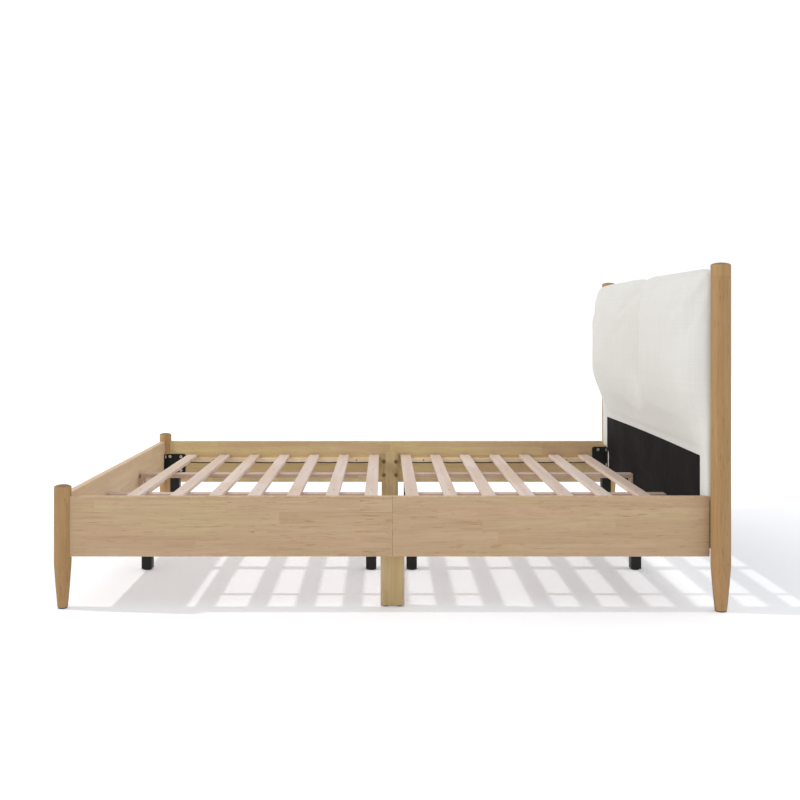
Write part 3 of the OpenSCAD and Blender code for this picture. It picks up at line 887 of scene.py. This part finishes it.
class BED_OT_middle_legs(bpy.types.Operator):
    """Flat legs behind the joints of the side rails"""

    bl_idname = "bed.middle_legs"
    bl_label = "Middle Legs"

    def execute(self, context):
        sizes, colours = looks(context)
        oak = wood("Middle leg oak", "Z", colours.middle_light, colours.middle_dark, colours.rail_light,
                   0.045, 0.5, 0.6, 0.4, shift=(0.01, 0.0, 0.0))
        for side in SIDES:
            board(f"middle_leg_{side}", f"flat_middle_leg_{side}", oak, sizes.board_edge)
        return {"FINISHED"}


class BED_OT_support_legs(bpy.types.Operator):
    """Square black legs under the centre beams, closed by bored plugs"""

    bl_idname = "bed.support_legs"
    bl_label = "Support Legs"

    def execute(self, context):
        _, colours = looks(context)
        for row in ROWS:
            for side in SIDES:
                node = f"support_leg_{row}_{side}"
                low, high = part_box(node)
                bm = new_mesh()
                verts = add_block(bm, low, high)
                upright = [e for e in edges_of(verts) if abs(e.verts[0].co.z - e.verts[1].co.z) > 0.1]
                round_edges(bm, upright, 0.003, 4)
                bottom = min(bm.faces, key=lambda f: f.calc_center_median().z)
                bmesh.ops.inset_region(bm, faces=[bottom], thickness=0.002, depth=0.0)
                bottom = min(
                    (f for f in bm.faces if f.normal.z < -0.9), key=lambda f: -f.calc_area())
                bmesh.ops.translate(bm, verts=bottom.verts, vec=(0.0, 0.0, 0.0012))
                leg = to_object(bm, f"square_leg_{row}_{side}")
                at = (low + high) / 2
                bore = new_mesh()
                add_rod(bore, (at.x, at.y), 0.00405, low.z - 0.002, low.z + 0.034, segments=24)
                carve(leg, bore)
                fit(leg, powder_coat(colours), [node])
        return {"FINISHED"}


class BED_OT_glides(bpy.types.Operator):
    """Levelling glides, each a round foot on a threaded stem"""

    bl_idname = "bed.glides"
    bl_label = "Levelling Glides"

    def execute(self, context):
        _, colours = looks(context)
        for row in ROWS:
            for side in SIDES:
                node = f"levelling_glide_{row}_{side}"
                low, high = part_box(node)
                at, radius = (low + high) / 2, (high.x - low.x) / 2
                outline = [(0.0, 0.0), (radius - 0.002, 0.0), (radius - 0.0006, 0.0004), (radius, 0.0012),
                           (radius, 0.0026), (radius - 0.001, 0.0036), (0.009, 0.004), (0.0062, 0.004)]
                z, pitch = 0.0045, 0.00125
                outline.append((0.0037, 0.0041))
                while z < high.z - pitch:
                    outline += [(0.0036, z), (0.0040, z + pitch / 2)]
                    z += pitch
                outline += [(0.0036, high.z - 0.0006), (0.0030, high.z), (0.0, high.z)]
                bm = new_mesh()
                spin_profile(bm, outline, (at.x, at.y), 32)
                fit(to_object(bm, f"screw_foot_{row}_{side}"), moulded_plastic(colours),
                    [node], body=node, sharp=30.0)
        return {"FINISHED"}


class BED_OT_floor_pads(bpy.types.Operator):
    """Round pads under the legs, posts and middle legs"""

    bl_idname = "bed.floor_pads"
    bl_label = "Floor Pads"

    def execute(self, context):
        sizes, colours = looks(context)
        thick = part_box("floor_pads")[1].z
        bm = new_mesh()
        for side, sign in SIDES.items():
            spots = []
            for node, tip in ((f"foot_leg_{side}", sizes.leg_tip), (f"head_post_{side}", sizes.post_tip)):
                low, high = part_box(node)
                radius = (high.x - low.x) / 2
                outer = high.y if sign > 0 else low.y
                spots.append(((low.x + high.x) / 2, outer - sign * radius, tip - 0.0015))
            low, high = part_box(f"middle_leg_{side}")
            spots += [(JOINT_X + x, (low.y + high.y) / 2, 0.010) for x in (-0.022, 0.022)]
            for x, y, radius in spots:
                add_rod(bm, (x, y), radius, 0.0, thick, segments=40)
        rims = [e for e in bm.edges if abs(e.verts[0].co.z - e.verts[1].co.z) < 1e-5]
        round_edges(bm, rims, 0.0005, 2)
        fit(to_object(bm, "leg_pads"), moulded_plastic(colours), ["floor_pads"])
        return {"FINISHED"}


# ---------- steel and fasteners ----------

MIDDLE_BOLTS = [(x, z) for x in (-0.0285, 0.0285) for z in (0.200, 0.262)]
PLATE = 0.003
BRACKET_BOLT_X = 0.021
BRACKET_BOLT_Z = 0.012
COUNTERBORE = 0.0055


class BED_OT_brackets(bpy.types.Operator):
    """Bent steel plates in the four corners"""

    bl_idname = "bed.brackets"
    bl_label = "Corner Brackets"

    def execute(self, context):
        _, colours = looks(context)
        for half, way in HALVES.items():
            for side, sign in SIDES.items():
                node = f"corner_bracket_{half}_{side}"
                low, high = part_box(node)
                bm = new_mesh()
                rail_face = high.y if sign > 0 else low.y
                end_face = low.x if way < 0 else high.x
                ys = sorted((rail_face, rail_face - sign * PLATE))
                self.plate(bm, (low.x, ys[0], low.z), (high.x, ys[1], high.z), 0, end_face)
                xs = sorted((end_face, end_face - way * PLATE))
                self.plate(bm, (xs[0], low.y, low.z), (xs[1], high.y, high.z), 1, rail_face)
                fit(to_object(bm, f"steel_bracket_{half}_{side}"), powder_coat(colours), [node])
        return {"FINISHED"}

    @staticmethod
    def plate(bm, low, high, run, bend_at):
        """One flange: its far corners are round, and all its edges are eased."""
        verts = add_block(bm, low, high)
        thin = 1 - run
        corners = [
            e for e in edges_of(verts)
            if abs(e.verts[0].co[thin] - e.verts[1].co[thin]) > PLATE / 2
            and abs(e.verts[0].co[run] - bend_at) > 0.01]
        round_edges(bm, corners, 0.008, 6)
        worn_and_lit = bm.faces.layers.float["edge"]
        for face in bm.faces:
            face[worn_and_lit] = 0.0
        own = [e for e in bm.edges if e.calc_face_angle(0.0) > 1.0
               and all(low[k] - 1e-5 <= v.co[k] <= high[k] + 1e-5 for v in e.verts for k in range(3))
               and e.is_manifold]
        round_edges(bm, [e for e in own if e.calc_length() > 0.0005], 0.0005, 2)


def bolt_template(radius, height, socket):
    """A round bolt head with a hexagon socket, its seat at Z = 0."""
    bm = new_mesh()
    bmesh.ops.create_cone(
        bm, cap_ends=True, segments=36, radius1=radius, radius2=radius, depth=height,
        matrix=Matrix.Translation((0.0, 0.0, height / 2)))
    rim = [e for e in bm.edges if all(v.co.z > height * 0.9 for v in e.verts)]
    round_edges(bm, rim, radius * 0.16, 2)
    top = max(bm.faces, key=lambda f: f.calc_center_median().z)
    bmesh.ops.inset_region(bm, faces=[top], thickness=radius * 0.84 - socket * 1.05)
    top = max((f for f in bm.faces if f.normal.z > 0.9), key=lambda f: len(f.verts))
    for vert in top.verts:
        angle = math.atan2(vert.co.y, vert.co.x)
        flat = (angle % (math.pi / 3)) - math.pi / 6
        reach = socket * math.cos(math.pi / 6) / math.cos(flat)
        vert.co.x, vert.co.y = reach * math.cos(angle), reach * math.sin(angle)
    sunk = bmesh.ops.extrude_discrete_faces(bm, faces=[top])["faces"][0]
    bmesh.ops.translate(bm, verts=sunk.verts, vec=(0.0, 0.0, -height * 0.55))
    return finished_template(bm, "bolt")


def screw_template(radius):
    """A countersunk screw head with a cross recess, its top at Z = 0."""
    bm = new_mesh()
    depth = 0.0025
    bmesh.ops.create_cone(
        bm, cap_ends=True, segments=16, radius1=radius * 0.5, radius2=radius, depth=depth,
        matrix=Matrix.Translation((0.0, 0.0, -depth / 2)) @ Matrix.Rotation(math.pi / 16, 4, "Z"))
    top = max(bm.faces, key=lambda f: f.calc_center_median().z)
    bmesh.ops.inset_region(bm, faces=[top], thickness=radius * 0.4)
    top = max((f for f in bm.faces if f.normal.z > 0.9), key=lambda f: len(f.verts))
    for vert in top.verts:
        angle = math.atan2(vert.co.y, vert.co.x)
        to_arm = abs((angle + math.pi / 4) % (math.pi / 2) - math.pi / 4)
        reach = 0.0023 if to_arm < math.pi / 10 else 0.0007
        vert.co.x, vert.co.y = reach * math.cos(angle), reach * math.sin(angle)
    sunk = bmesh.ops.extrude_discrete_faces(bm, faces=[top])["faces"][0]
    bmesh.ops.translate(bm, verts=sunk.verts, vec=(0.0, 0.0, -0.0011))
    return finished_template(bm, "screw")


def finished_template(bm, name):
    bmesh.ops.remove_doubles(bm, verts=bm.verts, dist=1e-6)
    bmesh.ops.recalc_face_normals(bm, faces=bm.faces)
    mesh = bpy.data.meshes.new(name)
    bm.to_mesh(mesh)
    bm.free()
    return mesh


class BED_OT_bolts(bpy.types.Operator):
    """Socket bolts in the brackets, the middle legs and the beams"""

    bl_idname = "bed.bolts"
    bl_label = "Bolts"

    def execute(self, context):
        _, colours = looks(context)
        pan, cap = bolt_template(0.007, 0.004, 0.0032), bolt_template(0.0065, 0.005, 0.0036)
        flat = bolt_template(0.0095, 0.002, 0.0036)
        steel, sunk, bronze = new_mesh(), new_mesh(), new_mesh()
        for side, sign in SIDES.items():
            for half, way in HALVES.items():
                low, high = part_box(f"corner_bracket_{half}_{side}")
                rail_face = high.y if sign > 0 else low.y
                end_face = low.x if way < 0 else high.x
                places = (low.x + BRACKET_BOLT_X, high.x - BRACKET_BOLT_X) if half == "foot" else (CORE_LOW.x - 0.039,)
                for z in (low.z + BRACKET_BOLT_Z, high.z - BRACKET_BOLT_Z):
                    for x in places:
                        at = Matrix.Translation((x, rail_face - sign * PLATE, z))
                        stamp(steel, pan, at @ facing(sign, (0, -1, 0)))
                    at = Matrix.Translation((end_face - way * PLATE, rail_face - sign * 0.018, z))
                    stamp(steel, pan, at @ facing(sign, (-way, 0, 0)))
            leg_low, leg_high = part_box(f"middle_leg_{side}")
            face = leg_low.y if sign > 0 else leg_high.y
            for x, z in MIDDLE_BOLTS:
                at = Matrix.Translation((JOINT_X + x, face, z))
                stamp(bronze, flat, at @ facing(sign, (0, -1, 0)))
            beam_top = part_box(f"centre_beam_foot_{side}")[1].z
            for row in ROWS:
                low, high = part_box(f"support_leg_{row}_{side}")
                at = (low + high) / 2
                stamp(sunk, cap, Matrix.Translation((at.x, at.y, beam_top - COUNTERBORE)))
        fit(to_object(steel, "bracket_bolts"), zinc_plate(colours), ["bed_fasteners"])
        fit(to_object(sunk, "counterbore_bolts"), zinc_plate(colours), ["bed_fasteners"])
        fit(to_object(bronze, "middle_leg_bolts"), bronze_finish(colours), ["bed_fasteners"])
        for template in (pan, cap, flat):
            bpy.data.meshes.remove(template)
        return {"FINISHED"}


class BED_OT_screws(bpy.types.Operator):
    """Cross-head screws in the slats, ledges and cleats"""

    bl_idname = "bed.screws"
    bl_label = "Wood Screws"

    def execute(self, context):
        _, colours = looks(context)
        head = screw_template(0.004)
        bm = new_mesh()
        for side, sign in SIDES.items():
            turn = seeded("screws " + side)
            beam_low, beam_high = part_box(f"centre_beam_foot_{side}")
            beam_y = (beam_low.y + beam_high.y) / 2
            ledge_low, ledge_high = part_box(f"ledge_foot_{side}")
            ledge_y = (ledge_low.y + ledge_high.y) / 2
            ledge_face = ledge_low.y if sign > 0 else ledge_high.y
            spots = []
            for number in range(1, SLATS + 1):
                low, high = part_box(f"slat_{number}")
                for y in (beam_y + sign * 0.013, ledge_y):
                    spots.append((((low.x + high.x) / 2, y, high.z + 0.0002), (0, 0, 1)))
            for way in HALVES.values():
                for x in (0.155, 0.477, 0.814):
                    place = (JOINT_X + way * x, ledge_face - sign * 0.0002, (ledge_low.z + ledge_high.z) / 2)
                    spots.append((place, (0, -1, 0)))
            low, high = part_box("beam_cleats")
            middle = (low.z + high.z) / 2
            spots.append(((low.x + 0.0212, beam_y, middle), (1, 0, 0)))
            spots.append(((high.x - 0.0122, beam_y, middle), (-1, 0, 0)))
            for place, axis in spots:
                spin = Matrix.Rotation(turn.uniform(0.0, math.pi / 2), 4, "Z")
                stamp(bm, head, Matrix.Translation(place) @ facing(sign, axis) @ spin)
        fit(to_object(bm, "screw_heads"), bronze_finish(colours), ["bed_fasteners"])
        bpy.data.meshes.remove(head)
        return {"FINISHED"}


# ---------- headboard and straps ----------

COVER_LIFT = 0.0072
PAD_BACK = 0.022
STRAP_WIDTH = 0.024
STRAP_OVERRUN = 0.015
STRAP_SAG = 0.0015

class BED_OT_cover(bpy.types.Operator):
    """Cover cloth pulled over the headboard's core"""

    bl_idname = "bed.cover"
    bl_label = "Headboard Cover"

    def execute(self, context):
        sizes, colours = looks(context)
        bm = new_mesh()
        verts = add_block(bm, CORE_LOW, CORE_HIGH)
        round_edges(bm, edges_of(verts), 0.004, 4)
        cover = to_object(bm, "headboard_cover")
        fit(cover, cover_cloth(sizes, colours), ["headboard_core"])
        return {"FINISHED"}


def ease(t):
    t = min(1.0, max(0.0, t))
    return (1.0 - math.cos(math.pi * t)) / 2


def pad_outline(depth, back):
    """(distance in front of the core, height, share of the swell) round the padding, seen from the side."""
    thin, start, low, rise, shoulder = COVER_LIFT, 0.332, PAD_LOW.z, 0.715, 0.905
    steps = 26
    points = [(thin, start + (low - start) * k / 8) for k in range(8)]
    points += [(thin + (depth - thin) * ease(k / steps), low + (rise - low) * k / steps) for k in range(steps)]
    points += [(depth, rise + (shoulder - rise) * k / 12) for k in range(12)]
    for k in range(31):
        angle = math.radians(90 * k / 31)
        points.append((depth * math.cos(angle) ** 0.55, shoulder + (PAD_HIGH.z - shoulder) * math.sin(angle)))
    points.append((0.0, PAD_HIGH.z))
    points += [(-back * k / 4, PAD_HIGH.z) for k in range(1, 5)]
    count = 24
    points += [(-back, PAD_HIGH.z - (PAD_HIGH.z - start) * k / count) for k in range(1, count + 1)]
    points += [(-back * (1 - k / 3), start) for k in range(1, 3)]
    return points


def channel_share(height):
    """How far the middle channel is pulled in at a height: it fades out towards the lining."""
    return ease((height - 0.600) / 0.12)


def shape_pad(y, out, z, depth, channel):
    """Moves a point of the plain outline to its place on the two swollen halves."""
    half = PAD_HIGH.y
    a = abs(y)
    end = min(1.0, max(0.0, (half - a) / 0.080))
    roll = 1.0 - (1.0 - end) ** 1.25
    dip = max(0.0, 1.0 - a / 0.19) ** 1.6 * channel * channel_share(z)
    crown = 0.0035 * math.sin(math.pi * min(1.0, max(0.0, (a - 0.05) / (half - 0.10))))
    if out > 0.0:
        swell = out / depth
        rim = min(COVER_LIFT, out)
        out = rim + (out - rim) * roll - dip * swell ** 0.6 + crown * swell
        if z < 0.9:
            out = max(out, 0.0135 * ease((a - 0.700) / 0.025))
    if z > 0.9:
        z -= (0.022 * max(0.0, 1.0 - a / 0.09) ** 1.5 + 0.010 * (1.0 - roll)) * ease((z - 0.9) / 0.15)
    return CORE_LOW.x - out, y, z


class BED_OT_padding(bpy.types.Operator):
    """The padded front of the headboard, swollen by a short cloth simulation"""

    bl_idname = "bed.padding"
    bl_label = "Padding"

    def execute(self, context):
        sizes, colours = looks(context)
        depth = CORE_LOW.x - PAD_LOW.x
        outline = pad_outline(depth, PAD_BACK)
        stations = 150
        bm = bmesh.new()
        rows = len(outline)
        bmesh.ops.create_grid(bm, x_segments=stations, y_segments=rows, size=1.0)
        for vert in bm.verts:
            y = vert.co.x * PAD_HIGH.y
            out, z = outline[round((vert.co.y + 1) / 2 * rows) % rows]
            vert.co = shape_pad(y, out, z, depth, sizes.channel)
        bmesh.ops.remove_doubles(bm, verts=bm.verts, dist=1e-6)
        bmesh.ops.holes_fill(bm, edges=[e for e in bm.edges if e.is_boundary], sides=0)
        pad = to_object(bm, "headboard_padding")
        cells = pad.modifiers.new("Cells", "REMESH")
        cells.mode = "VOXEL"
        cells.voxel_size = sizes.pad_cell
        take_result(pad)
        self.swell(context, pad, sizes)
        self.sew(pad, sizes)
        fit(pad, cover_cloth(sizes, colours), ["headboard_cushion"], soft=True)
        return {"FINISHED"}

    @staticmethod
    def swell(context, pad, sizes):
        """Blows the cloth out under pressure, held at the core and along the channel."""
        rest = [v.co.copy() for v in pad.data.vertices]
        held = pad.vertex_groups.new(name="held")
        for index, co in enumerate(rest):
            in_channel = abs(co.y) < 0.020 and co.z > 0.64
            if co.x > CORE_LOW.x - 0.004 or in_channel or co.z < 0.50:
                held.add([index], 1.0, "REPLACE")
        cloth = pad.modifiers.new("Swell", "CLOTH")
        cloth.settings.use_pressure = True
        cloth.settings.uniform_pressure_force = 4.0
        cloth.settings.vertex_group_mass = "held"
        cloth.settings.effector_weights.gravity = 0.0
        cloth.settings.quality = 4
        cloth.settings.tension_stiffness = 18.0
        cloth.settings.compression_stiffness = 18.0
        cloth.settings.bending_stiffness = 6.0
        cloth.collision_settings.use_collision = False
        for number in range(1, 21):
            context.scene.frame_set(number)
        take_result(pad)
        context.scene.frame_set(1)
        for vert, was in zip(pad.data.vertices, rest):
            move = vert.co - was
            if move.length > sizes.pad_swell:
                vert.co = was + move.normalized() * sizes.pad_swell

    @staticmethod
    def sew(pad, sizes):
        """Evens the cloth out and pulls the channel's seam tight."""
        bm = bmesh.new()
        bm.from_mesh(pad.data)
        for _ in range(6):
            bmesh.ops.smooth_vert(
                bm, verts=bm.verts, factor=0.5, use_axis_x=True, use_axis_y=True, use_axis_z=True)
        for vert in bm.verts:
            x, y, z = vert.co
            if z > 0.62 and x < CORE_LOW.x + 0.01:
                pull = channel_share(z) * max(0.0, 1.0 - abs(y) / 0.018) ** 1.4
                vert.co.x = min(CORE_LOW.x + 0.01, x + 0.010 * pull)
                if z > PAD_HIGH.z - 0.05:
                    vert.co.z -= 0.004 * pull
        bm.to_mesh(pad.data)
        bm.free()


def linen_sheet(name, corner_low, corner_high, place, cuts, thick):
    """A flat sheet of cloth, laid over a surface by a function of its two directions."""
    bm = bmesh.new()
    bmesh.ops.create_grid(bm, x_segments=cuts[0], y_segments=cuts[1], size=0.5)
    for vert in bm.verts:
        across = corner_low[0] + (vert.co.x + 0.5) * (corner_high[0] - corner_low[0])
        up = corner_low[1] + (vert.co.y + 0.5) * (corner_high[1] - corner_low[1])
        vert.co = place(across, up)
    sheet = to_object(bm, name)
    body = sheet.modifiers.new("Thickness", "SOLIDIFY")
    body.thickness = thick
    body.offset = 0.0
    take_result(sheet)
    return sheet


class BED_OT_straps(bpy.types.Operator):
    """Webbing that links the slats from below and sags a little between them"""

    bl_idname = "bed.straps"
    bl_label = "Slat Straps"

    def execute(self, context):
        _, colours = looks(context)
        spans = [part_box(f"slat_{number}") for number in range(1, SLATS + 1)]
        low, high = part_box("slat_straps")
        for half, way in HALVES.items():
            mine = [span for span in spans if (span[0].x - JOINT_X) * way > 0]
            start = (mine[0][0].x + mine[0][1].x) / 2 - STRAP_OVERRUN
            end = (mine[-1][0].x + mine[-1][1].x) / 2 + STRAP_OVERRUN
            for side, sign in SIDES.items():
                edges = sorted((sign * high.y, sign * (high.y - STRAP_WIDTH)))

                def hang(x, y):
                    sag = 0.0
                    for before, after in zip(mine, mine[1:]):
                        part = (x - before[1].x) / (after[0].x - before[1].x)
                        if 0.0 < part < 1.0:
                            sag = STRAP_SAG * math.sin(math.pi * part) ** 1.3
                    return x, y, high.z - 0.0009 - sag

                strap = linen_sheet(
                    f"webbing_{half}_{side}", (start, edges[0]), (end, edges[1]), hang, (170, 2), 0.0013)
                fit(strap, webbing(colours), ["slat_straps"], soft=True)
        return {"FINISHED"}


class BED_OT_linings(bpy.types.Operator):
    """Black lining below the padding, and the lining over the back"""

    bl_idname = "bed.linings"
    bl_label = "Linings"

    def execute(self, context):
        _, colours = looks(context)
        low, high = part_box("headboard_lining")
        thick = 0.0009

        def front(y, z):
            part = (z - low.z) / (high.z - low.z)
            lift = COVER_LIFT * ease((z - 0.300) / 0.045)
            bow = 0.004 * math.cos(math.pi * y / (high.y * 2)) * part
            ripple = 0.0004 * math.sin(y * 47.0) * math.sin(z * 31.0)
            return CORE_LOW.x - 0.0016 - lift - abs(ripple), y, z - 0.004 * part + bow

        lining = linen_sheet("front_lining", (low.y, low.z + 0.003), (high.y, high.z), front, (140, 30), thick)
        fit(lining, pressed_lining(colours), ["headboard_lining"], soft=True)

        def back(y, z):
            ripple = 0.0005 * math.sin(y * 23.0) * math.sin(z * 19.0)
            return CORE_HIGH.x + 0.0012 + abs(ripple), y, z

        wide, bottom, top = 0.772, CORE_LOW.z + 0.018, CORE_HIGH.z - 0.020
        rear = linen_sheet("back_lining", (-wide, bottom), (wide, top), back, (100, 60), thick)
        fit(rear, pressed_lining(colours), [], soft=True)
        self.staples(colours, wide, bottom, top)
        return {"FINISHED"}

    @staticmethod
    def staples(colours, wide, bottom, top):
        """Wire staples round the edge of the back lining."""
        bm = new_mesh()
        inset, step, half, wire = 0.009, 0.062, 0.005, 0.0006
        x = CORE_HIGH.x + 0.0018
        across = int((2 * wide - 0.06) / step)
        for k in range(across + 1):
            y = -wide + 0.03 + k * (2 * wide - 0.06) / across
            for z in (bottom + inset, top - inset):
                add_block(bm, (x, y - half, z - wire), (x + wire * 2, y + half, z + wire))
        up = int((top - bottom - 0.06) / step)
        for k in range(up + 1):
            z = bottom + 0.03 + k * (top - bottom - 0.06) / up
            for y in (-wide + inset, wide - inset):
                add_block(bm, (x, y - wire, z - half), (x + wire * 2, y + wire, z + half))
        fit(to_object(bm, "back_staples"), zinc_plate(colours), [])


# ---------- sidebar ----------


class BED_PT_panel(bpy.types.Panel):
    """The steps that build the bed, in order"""

    bl_label = "Bed Frame"
    bl_idname = "BED_PT_panel"
    bl_space_type = "VIEW_3D"
    bl_region_type = "UI"
    bl_category = "Bed Frame"

    def draw(self, context):
        layout = self.layout
        for step in STEPS:
            layout.operator(step.bl_idname)
        for title, settings in (
                ("Sizes", context.scene.bed_sizes), ("Colours", context.scene.bed_colours),
                ("Stage", context.scene.bed_stage)):
            box = layout.box()
            box.label(text=title)
            for key in settings.__annotations__:
                box.prop(settings, key)


STEPS = (
    BED_OT_stage, BED_OT_rails, BED_OT_turned_legs, BED_OT_middle_legs, BED_OT_ledges, BED_OT_slats,
    BED_OT_beams, BED_OT_support_legs, BED_OT_glides, BED_OT_floor_pads, BED_OT_brackets, BED_OT_bolts,
    BED_OT_screws, BED_OT_straps, BED_OT_cover, BED_OT_padding, BED_OT_linings)
SETTINGS = {"bed_sizes": BedSizes, "bed_colours": BedColours, "bed_stage": StageLook}


def register():
    for group in SETTINGS.values():
        bpy.utils.register_class(group)
    for step in (*STEPS, BED_PT_panel):
        bpy.utils.register_class(step)
    for name, group in SETTINGS.items():
        setattr(bpy.types.Scene, name, bpy.props.PointerProperty(type=group))


def unregister():
    for name in SETTINGS:
        delattr(bpy.types.Scene, name)
    for step in reversed((*STEPS, BED_PT_panel)):
        bpy.utils.unregister_class(step)
    for group in reversed(list(SETTINGS.values())):
        bpy.utils.unregister_class(group)


def main():
    """Builds the whole bed."""
    register()
    for step in STEPS:
        family, action = step.bl_idname.split(".")
        getattr(getattr(bpy.ops, family), action)()


if __name__ == "__main__":
    main()
